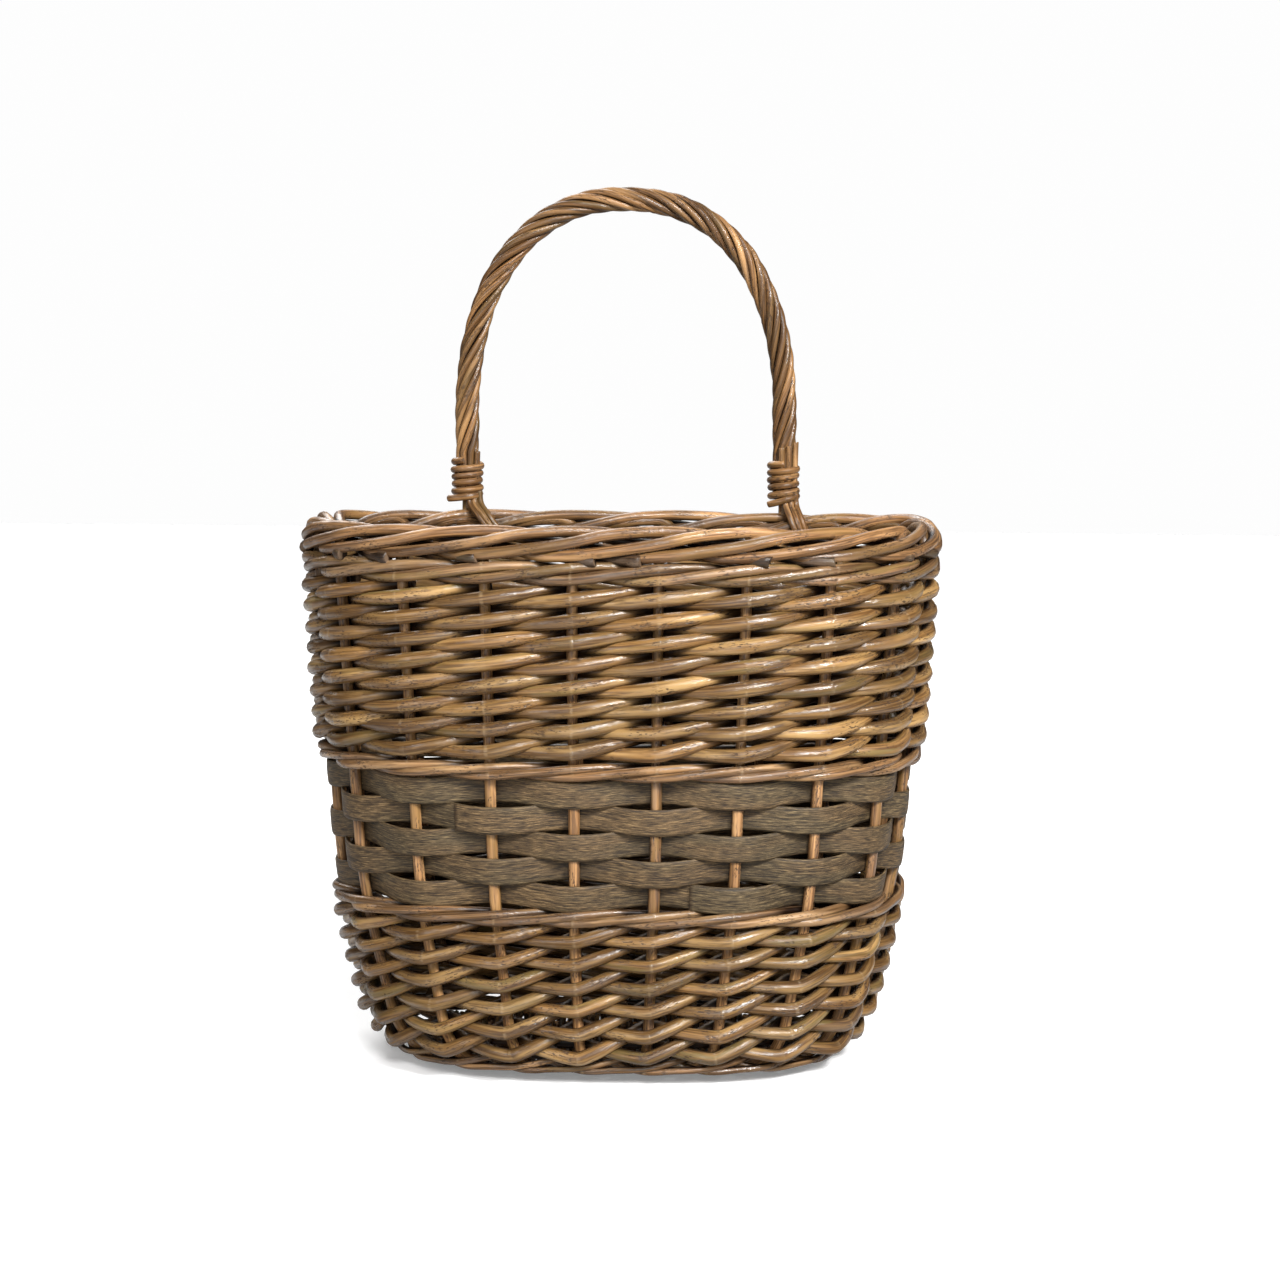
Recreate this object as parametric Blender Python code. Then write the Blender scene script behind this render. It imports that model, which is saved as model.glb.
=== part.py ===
"""Woven willow market basket: D-shaped plan, a band of flat chip strips and a roped bow handle.

Metres, +Z up. The bowed front faces -Y, the flat back with the handle stands at +Y, and the origin is
on the floor under the middle of the basket.

A place on the wall is given as (v, h, out): v counts stake spaces round the plan, counter-clockwise
from the middle of the front, h is the distance up the wall's middle surface from the stakes' lower
ends, and out is the distance outwards from that surface, square to it. Stakes stand at v = 0.5, 1.5 ...
"""

import math

import bmesh
import bpy
import numpy as np
from mathutils import Vector

# Plan: half-widths are those of the wall's middle surface, where the stakes stand.
STAKES = 20
STAKE_FOOT_HALF_WIDTH = 0.100
HEEL_HALF_WIDTH = 0.1405
SHOULDER_HALF_WIDTH = 0.1657
RIM_HALF_WIDTH = 0.180
FRONT_DEPTH = 0.779
BACK_DEPTH = 0.309
FRONT_SQUARENESS = 3.0
BACK_SQUARENESS = 4.0
FRONT_STAKE_SPACING = 0.0485
FRONT_STAKES_EACH_SIDE = 3.5
HANDLE_STAKE_X = 0.0910
HANDLE_STAKE_V = 8.5

BACKWARD_SHARE = 0.2
FOOT_CURVE = 0.035
SHOULDER_CURVE = 0.030
SLOPE_STEP_V = 0.02
SLOPE_STEP_H = 0.001

# Heights
STAKE_FOOT_Z = 0.0065
SHOULDER_Z = 0.112
BORDER_Z = 0.307
STAKE_TOP_Z = 0.3105
FOOT_WALE_START = 0.0270
FOOT_WALE_HEIGHT = 0.010
LOWER_WALE_Z = 0.0965
CHIPS_Z = 0.1060
MIDDLE_WALE_Z = 0.1795
UPPER_RAND_Z = 0.1890
TOP_WALE_Z = 0.2870
TOP_WALE_END_Z = 0.3020
LOWER_ROUNDS = 6
UPPER_ROUNDS = 8
CHIP_STRIPS = 5

# Rods and strips
GAP = 0.00035
STAKE_RADIUS = 0.003
STAKE_SOCKET_RADIUS = 0.0035
RAND_THICKNESS = 0.007
WALE_THICKNESS = 0.0055
CHIP_THICKNESS = 0.0015
BORDER_ROD_RADIUS = 0.0034
BORDER_CAP_RADIUS = 0.0028
BORDER_CAP_Z = 0.3150
CAP_STEP_START = 0.018
CAP_STEP_END = 0.008
WEAVE_CLEARANCE = 0.0012
ROUND_GAP = 0.0014

# Base
BASE_PLATE_HALF_WIDTH = 0.1180
BASE_PLATE_THICKNESS = 0.0125
BASE_STICK_RADIUS = 0.0030
BASE_STICK_CHANNEL_RADIUS = 0.0035
BASE_STICK_SHORTFALL = 0.001
CHANNEL_OVERRUN = 0.004
BASE_STICK_V = (4, 5, 6)

# Handle
BOW_RADIUS = 0.0030
BOW_BESIDE_STAKE = 0.0075
BOW_FOOT_Z = 0.1950
BOW_WALL_BENDS_Z = (0.25, 0.30)
PAST_BOW = 0.0045
RIM_TOP_Z = 0.318
LEG_HEIGHT = 0.0595
ARCH_HEIGHT = 0.1345
ARCH_SQUARENESS = 2.26
ARCH_SAMPLES = 200
BOW_STATION_SPACING = 0.0095
WRAP_INNER_RADIUS = 0.0045
WRAP_OUTER_RADIUS = 0.0073
WRAP_LAY = 0.094
WRAP_START_Z = 0.3515
WRAP_RODS = 2
WRAP_ARC_POINTS = 4
WRAP_SLOT = math.radians(9)
BINDING_Z = 0.3280
BINDING_TURNS = 4.5
BINDING_PITCH = 0.0044
BINDING_ROD_RADIUS = 0.0020
BINDING_STEPS_PER_TURN = 12
TAIL_RADIUS = 0.00155
TAILS_PER_FOOT = 2
TAIL_TOP_Z = 0.3495
TAIL_END_Z = 0.303
TAIL_SLANT = 0.009
TAIL_SPACING = 0.005
TAIL_PRESS = 0.002
TAIL_CLEARANCE = 0.0021
FIRST_TAIL_ANGLE = math.radians(-95)
TAIL_ANGLE_STEP = math.radians(60)

WILLOW = ((0.36, 0.22, 0.095), 0.42)
WALE_WILLOW = ((0.42, 0.24, 0.11), 0.45)
STAKE_WILLOW = ((0.44, 0.22, 0.085), 0.5)
CHIP_WOOD = ((0.19, 0.14, 0.085), 0.7)
HANDLE_WILLOW = ((0.33, 0.18, 0.075), 0.45)


# ---- The wall's middle surface -------------------------------------------------------------------


def unit_plan(samples=4000):
    """The plan for a half-width of 1, as x, y and the distance round from the middle of the front."""
    t = np.linspace(-math.pi / 2, 1.5 * math.pi, samples + 1)
    front = np.sin(t) < 0
    power = 2 / np.where(front, FRONT_SQUARENESS, BACK_SQUARENESS)
    depth = np.where(front, FRONT_DEPTH, BACK_DEPTH)
    x = np.sign(np.cos(t)) * np.abs(np.cos(t)) ** power
    y = np.sign(np.sin(t)) * depth * np.abs(np.sin(t)) ** power
    y += (FRONT_DEPTH - BACK_DEPTH) / 2
    round_it = np.concatenate([[0], np.cumsum(np.hypot(np.diff(x), np.diff(y)))])
    return x, y, round_it


PLAN_X, PLAN_Y, PLAN_ROUND = unit_plan()
HALF_ROUND = PLAN_ROUND[-1] / 2


def stake_spacing_knots():
    """Where the stake spaces fall round the unit plan: wide in front, closer round the corners."""
    in_front = FRONT_STAKE_SPACING / RIM_HALF_WIDTH * FRONT_STAKES_EACH_SIDE
    at_handle = HALF_ROUND - HANDLE_STAKE_X / RIM_HALF_WIDTH
    v = [0, FRONT_STAKES_EACH_SIDE, HANDLE_STAKE_V, STAKES / 2]
    s = [0, in_front, at_handle, HALF_ROUND]
    v += [STAKES - value for value in v[-2::-1]]
    s += [2 * HALF_ROUND - value for value in s[-2::-1]]
    return v, s


SPACING_V, SPACING_S = stake_spacing_knots()


def plan_point(v):
    s = np.interp(v % STAKES, SPACING_V, SPACING_S)
    return np.interp(s, PLAN_ROUND, PLAN_X), np.interp(s, PLAN_ROUND, PLAN_Y)


def v_beside(v, distance):
    """The v that is a distance round the rim from a given v."""
    s = np.interp(v, SPACING_V, SPACING_S) + distance / RIM_HALF_WIDTH
    return float(np.interp(s, SPACING_S, SPACING_V))


def rounded_path(points, reaches, steps=16):
    """A polyline whose inner corners are eased by a curve that starts `reach` before each corner."""
    points = [np.array(p, float) for p in points]
    path = [points[0]]
    for before, corner, after, reach in zip(points, points[1:], points[2:], reaches):
        start = corner + (before - corner) * reach / np.linalg.norm(before - corner)
        end = corner + (after - corner) * reach / np.linalg.norm(after - corner)
        for i in range(steps + 1):
            t = i / steps
            path.append((1 - t) ** 2 * start + 2 * t * (1 - t) * corner + t**2 * end)
    return np.array([*path, points[-1]])


def wall_profile():
    """Half-width, shift to the back and height up the wall, with the distance along it.

    The shift keeps the back wall steeper than the front wall.
    """
    heel_shift = BACKWARD_SHARE * (RIM_HALF_WIDTH - HEEL_HALF_WIDTH)
    shoulder_shift = BACKWARD_SHARE * (RIM_HALF_WIDTH - SHOULDER_HALF_WIDTH)
    path = rounded_path(
        [
            (STAKE_FOOT_HALF_WIDTH, heel_shift, STAKE_FOOT_Z),
            (HEEL_HALF_WIDTH, heel_shift, STAKE_FOOT_Z),
            (SHOULDER_HALF_WIDTH, shoulder_shift, SHOULDER_Z),
            (RIM_HALF_WIDTH, 0, RIM_TOP_Z),
        ],
        [FOOT_CURVE, SHOULDER_CURVE],
    )
    steps = np.hypot(np.diff(path[:, 0]), np.diff(path[:, 2]))
    return path, np.concatenate([[0], np.cumsum(steps)])


PROFILE, PROFILE_H = wall_profile()


def h_at(z):
    return float(np.interp(z, PROFILE[:, 2], PROFILE_H))


def wall_middle(v, h):
    half_width, shift, z = (np.interp(h, PROFILE_H, PROFILE[:, k]) for k in range(3))
    x, y = plan_point(v)
    return Vector((half_width * x, shift + half_width * y, z))


def wall(v, h, out=0.0):
    """The point at (v, h, out) on the wall, from the slopes over a short step each way."""
    along = wall_middle(v + SLOPE_STEP_V, h) - wall_middle(v - SLOPE_STEP_V, h)
    low = max(h - SLOPE_STEP_H, 0)
    high = min(h + SLOPE_STEP_H, PROFILE_H[-1])
    upwards = wall_middle(v, high) - wall_middle(v, low)
    return wall_middle(v, h) + along.cross(upwards).normalized() * out


# ---- Helpers --------------------------------------------------------------------------------------


def clear_scene():
    for item in list(bpy.data.objects):
        bpy.data.objects.remove(item, do_unlink=True)


def material(name, look):
    made = bpy.data.materials.get(name)
    if made:
        return made
    colour, roughness = look
    made = bpy.data.materials.new(name)
    made.use_nodes = True
    shader = made.node_tree.nodes["Principled BSDF"]
    shader.inputs["Base Color"].default_value = (*colour, 1)
    shader.inputs["Roughness"].default_value = roughness
    shader.inputs["Metallic"].default_value = 0
    return made


def add_object(name, data, look_name, look):
    made = bpy.data.objects.new(name, data)
    bpy.context.scene.collection.objects.link(made)
    data.materials.append(material(look_name, look))
    return made


def skin_faces(bm, sections, closed):
    """Joins rings of points, each in the same order, into a closed skin, and gives it faces outwards."""
    rings = [[bm.verts.new(p) for p in section] for section in sections]
    pairs = list(zip(rings, rings[1:]))
    if closed:
        pairs.append((rings[-1], rings[0]))
    count = len(rings[0])
    for ring, following in pairs:
        for i in range(count):
            j = (i + 1) % count
            bm.faces.new((ring[i], ring[j], following[j], following[i]))
    if not closed:
        bm.faces.new(rings[0][::-1])
        bm.faces.new(rings[-1])
    bmesh.ops.recalc_face_normals(bm, faces=bm.faces)


def skin_object(name, sections, look_name, look, closed=True):
    bm = bmesh.new()
    skin_faces(bm, sections, closed)
    mesh = bpy.data.meshes.new(name)
    bm.to_mesh(mesh)
    bm.free()
    return add_object(name, mesh, look_name, look)


def rod_object(name, points, radius, look_name, look, closed=False, sides=6):
    """A round rod along a list of points, as a bevelled curve with filled ends."""
    curve = bpy.data.curves.new(name, "CURVE")
    curve.dimensions = "3D"
    curve.bevel_depth = radius
    curve.bevel_resolution = sides // 2 - 2
    curve.use_fill_caps = not closed
    spline = curve.splines.new("POLY")
    spline.points.add(len(points) - 1)
    for target, point in zip(spline.points, points):
        target.co = (*point, 1)
    spline.use_cyclic_u = closed
    return add_object(name, curve, look_name, look)


def rod_cutter(name, points, radius, sides=8):
    """A rod-shaped solid that a Boolean takes away, and that isn't part of the basket."""
    sections = []
    for i, point in enumerate(points):
        tangent = (points[min(i + 1, len(points) - 1)] - points[max(i - 1, 0)]).normalized()
        first = tangent.cross(Vector((0.1, 0.2, 1))).normalized()
        second = tangent.cross(first)
        angles = [2 * math.pi * k / sides for k in range(sides)]
        sections.append([point + (first * math.cos(a) + second * math.sin(a)) * radius for a in angles])
    cutter = skin_object(name, sections, "cutter", WILLOW, closed=False)
    cutter.hide_render = True
    cutter.display_type = "WIRE"
    return cutter


# ---- Wall ------------------------------------------------------------------------------------------


def handle_v():
    """The v of the bow's two feet, each just outside its own stake."""
    right = v_beside(HANDLE_STAKE_V, -BOW_BESIDE_STAKE)
    return right, STAKES - right


def lower_round_levels():
    """The h of the seams between the lower wall's rounds, from the foot wale's lower edge upwards."""
    first = FOOT_WALE_START + FOOT_WALE_HEIGHT
    return [FOOT_WALE_START, *np.linspace(first, h_at(LOWER_WALE_Z), LOWER_ROUNDS + 1)]


def stakes():
    """Each stake runs from its socket in the base, round the foot and up under the border's cap."""
    upper = [h_at(z) for z in (CHIPS_Z, SHOULDER_Z, MIDDLE_WALE_Z, STAKE_TOP_Z)]
    levels = [0, *lower_round_levels()[:-1], *upper]
    for i in range(STAKES):
        points = [wall(i + 0.5, h) for h in levels]
        rod_object(f"stake_{i + 1:02d}", points, STAKE_RADIUS, "stake_willow", STAKE_WILLOW)


def weave_knots(reach, first_side, meets_bow):
    """(v, out) round one round that passes the stakes on alternate sides, reach from their middle."""
    side = [first_side * (-1) ** i for i in range(STAKES)]
    knots = {i + 0.5: side[i] * reach for i in range(STAKES)}
    knots.update({float(i): 0.0 for i in range(STAKES)})
    if meets_bow:
        for foot, away in zip(handle_v(), (-1, 1)):
            past_bow = v_beside(foot, away * PAST_BOW)
            stake = HANDLE_STAKE_V if away < 0 else STAKES - HANDLE_STAKE_V
            knots[past_bow] = knots[stake]
    return sorted(knots.items())


def woven_round(name, low, high, thickness, first_side, look_name, look, meets_bow=False):
    """One round of weaving between two heights h, in front of one stake and behind the next."""
    reach = STAKE_RADIUS + thickness / 2 + WEAVE_CLEARANCE
    bottom, top = low + ROUND_GAP / 2, high - ROUND_GAP / 2
    sections = []
    for v, out in weave_knots(reach, first_side, meets_bow):
        inner, outer = out - thickness / 2, out + thickness / 2
        sections.append(
            [wall(v, bottom, inner), wall(v, bottom, outer), wall(v, top, outer), wall(v, top, inner)]
        )
    return skin_object(name, sections, look_name, look)


def chip_strip(name, low, high, first_side):
    """One flat strip, bowed smoothly round each stake."""
    reach = STAKE_RADIUS + CHIP_THICKNESS / 2 + WEAVE_CLEARANCE
    bottom, top = low + GAP / 2, high - GAP / 2
    steps_per_space = 4
    sections = []
    for k in range(STAKES * steps_per_space):
        v = k / steps_per_space
        out = first_side * reach * math.sin(math.pi * v)
        inner, outer = out - CHIP_THICKNESS / 2, out + CHIP_THICKNESS / 2
        sections.append(
            [wall(v, bottom, inner), wall(v, bottom, outer), wall(v, top, outer), wall(v, top, inner)]
        )
    return skin_object(name, sections, "chip_wood", CHIP_WOOD)


def wall_weave():
    seams = lower_round_levels()
    woven_round("foot_wale", seams[0], seams[1], WALE_THICKNESS, 1, "wale_willow", WALE_WILLOW)
    for i in range(LOWER_ROUNDS):
        name = f"lower_rand_round_{i + 1}"
        side = (-1) ** (i + 1)
        woven_round(name, seams[i + 1], seams[i + 2], RAND_THICKNESS, side, "willow", WILLOW)
    low, high = h_at(LOWER_WALE_Z), h_at(CHIPS_Z)
    woven_round("lower_wale", low, high, WALE_THICKNESS, 1, "wale_willow", WALE_WILLOW)
    seams = np.linspace(h_at(CHIPS_Z), h_at(MIDDLE_WALE_Z), CHIP_STRIPS + 1)
    for i in range(CHIP_STRIPS):
        chip_strip(f"chip_strip_{i + 1}", seams[i], seams[i + 1], -((-1) ** i))
    low, high = h_at(MIDDLE_WALE_Z), h_at(UPPER_RAND_Z)
    woven_round("middle_wale", low, high, WALE_THICKNESS, 1, "wale_willow", WALE_WILLOW)
    seams = np.linspace(h_at(UPPER_RAND_Z), h_at(TOP_WALE_Z), UPPER_ROUNDS + 1)
    for i in range(UPPER_ROUNDS):
        name = f"upper_rand_round_{i + 1}"
        side = (-1) ** (i + 1)
        woven_round(name, seams[i], seams[i + 1], RAND_THICKNESS, side, "willow", WILLOW, True)
    low, high = h_at(TOP_WALE_Z), h_at(TOP_WALE_END_Z)
    woven_round("top_wale", low, high, WALE_THICKNESS, -1, "wale_willow", WALE_WILLOW, True)


def border():
    """The rim: rods inside and outside the stakes' tops, and one over them that steps round the bow."""
    aside = STAKE_RADIUS + BORDER_ROD_RADIUS + 2 * GAP
    places = [i / 2 for i in range(2 * STAKES)]
    for name, out in (("border_inner_rod", -aside), ("border_outer_rod", aside)):
        points = [wall(v, h_at(BORDER_Z), out) for v in places]
        rod_object(name, points, BORDER_ROD_RADIUS, "wale_willow", WALE_WILLOW, closed=True)
    jog = BOW_RADIUS + BORDER_CAP_RADIUS + 3 * GAP
    knots = {v: 0.0 for v in places}
    for foot in handle_v():
        for v in places:
            if v_beside(foot, -CAP_STEP_START) < v < v_beside(foot, CAP_STEP_START):
                knots.pop(v)
        for way in (-1, 1):
            knots[v_beside(foot, way * CAP_STEP_START)] = 0.0
            knots[v_beside(foot, way * CAP_STEP_END)] = jog
    points = [wall(v, h_at(BORDER_CAP_Z), out) for v, out in sorted(knots.items())]
    rod_object("border_cap_rod", points, BORDER_CAP_RADIUS, "wale_willow", WALE_WILLOW, closed=True)


# ---- Base ------------------------------------------------------------------------------------------


def base_outline(half_width, z):
    shift = PROFILE[0, 1]
    places = [plan_point(k / 2) for k in range(2 * STAKES)]
    return [Vector((half_width * x, shift + half_width * y, z)) for x, y in places]


def base_stick_line(v, beyond):
    """The straight line that a base stick follows from one end of the base to the other."""
    x, y = plan_point(v)
    end = BASE_PLATE_HALF_WIDTH * x + beyond
    across = PROFILE[0, 1] + BASE_PLATE_HALF_WIDTH * y
    return [Vector((-end, across, STAKE_FOOT_Z)), Vector((end, across, STAKE_FOOT_Z))]


def base():
    """A woven base that lies flat on the floor, on three sticks, with a socket for every stake."""
    sections = [base_outline(BASE_PLATE_HALF_WIDTH, z) for z in (0, BASE_PLATE_THICKNESS)]
    plate = skin_object("base_weave", sections, "willow", WILLOW, closed=False)
    cutters = []
    for k, v in enumerate(BASE_STICK_V):
        line = base_stick_line(v, -BASE_STICK_SHORTFALL)
        rod_object(f"base_stick_{k + 1}", line, BASE_STICK_RADIUS, "stake_willow", STAKE_WILLOW)
        line = base_stick_line(v, CHANNEL_OVERRUN)
        cutters.append(rod_cutter(f"channel_cutter_{k + 1}", line, BASE_STICK_CHANNEL_RADIUS))
    for i in range(STAKES):
        levels = lower_round_levels()[:2]
        start = wall(i + 0.5, 0)
        inwards = (start - wall(i + 0.5, levels[0])).normalized()
        points = [start + inwards * 2 * GAP, *[wall(i + 0.5, h) for h in levels]]
        cutters.append(rod_cutter(f"socket_cutter_{i + 1}", points, STAKE_SOCKET_RADIUS))
    for cutter in cutters:
        cut = plate.modifiers.new(cutter.name, "BOOLEAN")
        cut.operation = "DIFFERENCE"
        cut.object = cutter


# ---- Handle ----------------------------------------------------------------------------------------


def bow_path():
    """Points up the left leg, over the arch and down the right leg, evenly spaced above the rim.

    The arch is a half ellipse, a little squarer at its shoulders.
    """
    right_v, left_v = handle_v()
    foot_right = wall(right_v, h_at(RIM_TOP_Z))
    half, y = foot_right.x, foot_right.y
    spring = RIM_TOP_Z + LEG_HEIGHT
    turn = np.linspace(0, math.pi, ARCH_SAMPLES)
    arch_x = -half * np.sign(np.cos(turn)) * np.abs(np.cos(turn)) ** (2 / ARCH_SQUARENESS)
    arch_z = spring + ARCH_HEIGHT * np.sin(turn) ** (2 / ARCH_SQUARENESS)
    fine = np.array([(-half, RIM_TOP_Z), *zip(arch_x[1:-1], arch_z[1:-1]), (half, RIM_TOP_Z)])
    along = np.concatenate([[0], np.cumsum(np.hypot(*np.diff(fine, axis=0).T))])
    stations = np.linspace(0, along[-1], round(along[-1] / BOW_STATION_SPACING) + 1)
    across, heights = (np.interp(stations, along, fine[:, k]) for k in range(2))
    points = [Vector((x, y, z)) for x, z in zip(across, heights)]
    below = [h_at(z) for z in (BOW_FOOT_Z, *BOW_WALL_BENDS_Z)]
    down_left = [wall(left_v, h) for h in below]
    down_right = [wall(right_v, h) for h in reversed(below)]
    return down_left, points, down_right


def wrap_section(point, tangent, angle):
    """A curved slab, one rod's share of the rope's outline round the bow."""
    depth_way = Vector((0, 1, 0))
    side_way = depth_way.cross(tangent)
    half_span = math.pi / WRAP_RODS - WRAP_SLOT
    angles = np.linspace(angle - half_span, angle + half_span, WRAP_ARC_POINTS)
    section = []
    for radius, order in ((WRAP_OUTER_RADIUS, angles), (WRAP_INNER_RADIUS, angles[::-1])):
        section += [point + (depth_way * math.cos(a) + side_way * math.sin(a)) * radius for a in order]
    return section


def handle_wraps(points):
    """The rods that are roped round the bow, each a long helix from one foot to the other."""
    wrapped = [p for p in points if p.z >= WRAP_START_Z]
    tangents = [(b - a).normalized() for a, b in zip(wrapped, wrapped[1:])]
    tangents = [tangents[0], *[(a + b).normalized() for a, b in zip(tangents, tangents[1:])], tangents[-1]]
    travelled = np.concatenate([[0], np.cumsum([(b - a).length for a, b in zip(wrapped, wrapped[1:])])])
    for k in range(WRAP_RODS):
        start = 2 * math.pi * k / WRAP_RODS
        sections = [
            wrap_section(p, t, start - 2 * math.pi * s / WRAP_LAY)
            for p, t, s in zip(wrapped, tangents, travelled)
        ]
        skin_object(f"handle_wrap_{k + 1}", sections, "handle_willow", HANDLE_WILLOW, closed=False)


def binding(name, foot):
    """A thin rod coiled tightly round a foot of the handle."""
    radius = BOW_RADIUS + 2 * TAIL_RADIUS + BINDING_ROD_RADIUS + 3 * GAP
    steps = round(BINDING_TURNS * BINDING_STEPS_PER_TURN)
    points = []
    for i in range(steps + 1):
        turn = i / BINDING_STEPS_PER_TURN
        angle = 2 * math.pi * turn
        across = Vector((math.cos(angle), math.sin(angle), 0)) * radius
        points.append(Vector((foot.x, foot.y, BINDING_Z + BINDING_PITCH * turn)) + across)
    rod_object(name, points, BINDING_ROD_RADIUS, "handle_willow", HANDLE_WILLOW)


def handle_tails(side, foot_v, foot):
    """The roping rods' ends: under the binding, then slanting over the rim into the basket."""
    beside_bow = BOW_RADIUS + TAIL_RADIUS + GAP
    clear = STAKE_RADIUS + 2 * BORDER_ROD_RADIUS + TAIL_RADIUS + TAIL_CLEARANCE
    for k in range(TAILS_PER_FOOT):
        angle = FIRST_TAIL_ANGLE + k * TAIL_ANGLE_STEP
        x = foot.x + beside_bow * math.cos(angle)
        y = foot.y + beside_bow * math.sin(angle)
        slant = TAIL_SLANT + k * TAIL_SPACING
        points = [
            Vector((x, y, TAIL_TOP_Z)),
            Vector((x, y, BINDING_Z - BINDING_ROD_RADIUS)),
            wall(v_beside(foot_v, -slant), h_at(RIM_TOP_Z), TAIL_PRESS - clear),
            wall(v_beside(foot_v, -2 * slant), h_at(TAIL_END_Z), -clear),
        ]
        rod_object(f"{side}_handle_tail_{k + 1}", points, TAIL_RADIUS, "handle_willow", HANDLE_WILLOW)


def handle():
    down_left, points, down_right = bow_path()
    rod_object("handle_bow", [*down_left, *points, *down_right], BOW_RADIUS, "handle_willow", HANDLE_WILLOW)
    handle_wraps(points)
    right_v, left_v = handle_v()
    for side, foot_v, foot in (("left", left_v, points[0]), ("right", right_v, points[-1])):
        binding(f"{side}_handle_binding", foot)
        handle_tails(side, foot_v, foot)


def main():
    clear_scene()
    stakes()
    wall_weave()
    border()
    base()
    handle()


main()
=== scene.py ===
"""Looks of the woven willow market basket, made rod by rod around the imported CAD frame.

Metres, +Z up, front at -Y, as in the CAD. A place on the wall is (v, h, out): v counts stake spaces round
the plan, counter-clockwise from the middle of the front, h is the distance up the wall's middle surface
from the stakes' lower ends, and out is the distance outwards from it. Stakes stand at v = 0.5, 1.5 ...
"""

import math
import zlib

import bpy
import numpy as np
from mathutils import Matrix, Vector


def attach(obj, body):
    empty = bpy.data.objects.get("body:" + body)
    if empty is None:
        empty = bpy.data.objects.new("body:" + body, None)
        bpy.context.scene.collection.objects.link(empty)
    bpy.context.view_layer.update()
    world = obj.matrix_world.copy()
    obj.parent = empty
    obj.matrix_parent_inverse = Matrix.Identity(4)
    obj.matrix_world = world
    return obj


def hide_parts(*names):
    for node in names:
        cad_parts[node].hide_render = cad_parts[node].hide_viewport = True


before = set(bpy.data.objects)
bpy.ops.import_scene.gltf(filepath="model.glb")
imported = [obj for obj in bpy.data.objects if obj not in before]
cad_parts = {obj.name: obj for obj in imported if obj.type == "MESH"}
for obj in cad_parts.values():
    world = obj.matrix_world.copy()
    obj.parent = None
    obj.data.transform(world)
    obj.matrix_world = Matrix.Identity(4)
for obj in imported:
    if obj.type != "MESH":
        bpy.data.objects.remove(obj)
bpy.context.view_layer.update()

# Plan and profile, as in the CAD
STAKES = 20
STAKE_FOOT_HALF_WIDTH = 0.100
HEEL_HALF_WIDTH = 0.1405
SHOULDER_HALF_WIDTH = 0.1657
RIM_HALF_WIDTH = 0.180
FRONT_DEPTH = 0.779
BACK_DEPTH = 0.309
FRONT_SQUARENESS = 3.0
BACK_SQUARENESS = 4.0
FRONT_STAKE_SPACING = 0.0485
FRONT_STAKES_EACH_SIDE = 3.5
HANDLE_STAKE_X = 0.0910
HANDLE_STAKE_V = 8.5
BACKWARD_SHARE = 0.2
FOOT_CURVE = 0.035
SHOULDER_CURVE = 0.030

# Heights, as in the CAD
STAKE_FOOT_Z = 0.0065
SHOULDER_Z = 0.112
FOOT_WALE_START = 0.0270
FOOT_WALE_HEIGHT = 0.010
LOWER_WALE_Z = 0.0965
CHIPS_Z = 0.1060
MIDDLE_WALE_Z = 0.1795
UPPER_RAND_Z = 0.1890
TOP_WALE_Z = 0.2870
TOP_WALE_END_Z = 0.3020
RIM_TOP_Z = 0.318
LOWER_ROUNDS = 6
UPPER_ROUNDS = 8
CHIP_STRIPS = 5
LEG_HEIGHT = 0.0595
ARCH_HEIGHT = 0.1345
ARCH_SQUARENESS = 2.26
BOW_BESIDE_STAKE = 0.0075
BOW_FOOT_Z = 0.1950

# Rods, with the radius at the butt and at the tip for the walls' long rods
STAKE_RADIUS = 0.0031
BORDER_RADIUS = 0.0032
RAND_RADII = {"lower": (0.0040, 0.0037), "upper": (0.0043, 0.0041)}
WALE_RADIUS = 0.0026
TOP_WALE_RADIUS = 0.0031
FOOT_WALE_RADIUS = 0.0020
BOW_RADIUS = 0.0030
STRAND_RADIUS = 0.00235
ROPE_STRANDS = 7
ROPE_RADIUS = 0.0053
ROPE_FOOT_RADIUS = 0.0048
ROPE_LAY = 0.094
BINDING_RADIUS = 0.0022
TAIL_RADIUS = 0.0019
TIP_RADIUS = 0.0029
STICK_RADIUS = 0.0026
BASE_WEAVER_RADIUS = 0.0019
ROD_CLEARANCE = 0.0002
ROD_STEP = 0.0024

# Wall: rods stay in front of the stakes for longer than behind them, and the back's lower rods are fuller
STRAIGHT_STAKE_TOP_Z = 0.294
# BORDER_SHADE_Z: a border stake below it is painted in shade, above it it is painted lighter.
BORDER_SHADE_Z = 0.3120
RAND_BUTT_V = 1.36
RAND_TIP_V = 0.03
RAND_UNEVENNESS = 0.045
LOWEST_RAND_LEVEL = -0.20
STAYS_OUT = {"lower": 0.22, "upper": 0.38}
BACK_FULLNESS = ([5, 7, 13, 15], [1.0, 1.17, 1.17, 1.0])
WALE_LIFTS = np.array([-0.92, 0.02, 0.92, 1.0, 0.1, -1.0])
WALE_OUTS = np.array([1.0, 1.06, 1.0, 0.10, -1.0, -0.02])

# Flat strips
CHIP_THICKNESS = 0.0013
CHIP_REACH = STAKE_RADIUS + CHIP_THICKNESS / 2 + 0.0001
CHIP_WIDTH_SPARE = 0.0004
CHIP_SWAY = 0.0010
CHIP_LAP_V = 0.85
CHIP_LAP_STARTS = (0.95, 9.1, 12.2, 18.05, 7.3)
CHIP_ROWS = 14
CHIP_CUP = 0.0003
CHIP_RIDGE = 0.00009

# Base
BASE_HALF_WIDTH = 0.1225
STICKS_HALF_WIDTH = 0.118
BASE_WEAVE_REACH = 0.114
BASE_WEAVER_SPACING = 0.0034
BASE_WEAVE_LIFT = 0.0044
BASE_EDGE = 0.002

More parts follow.
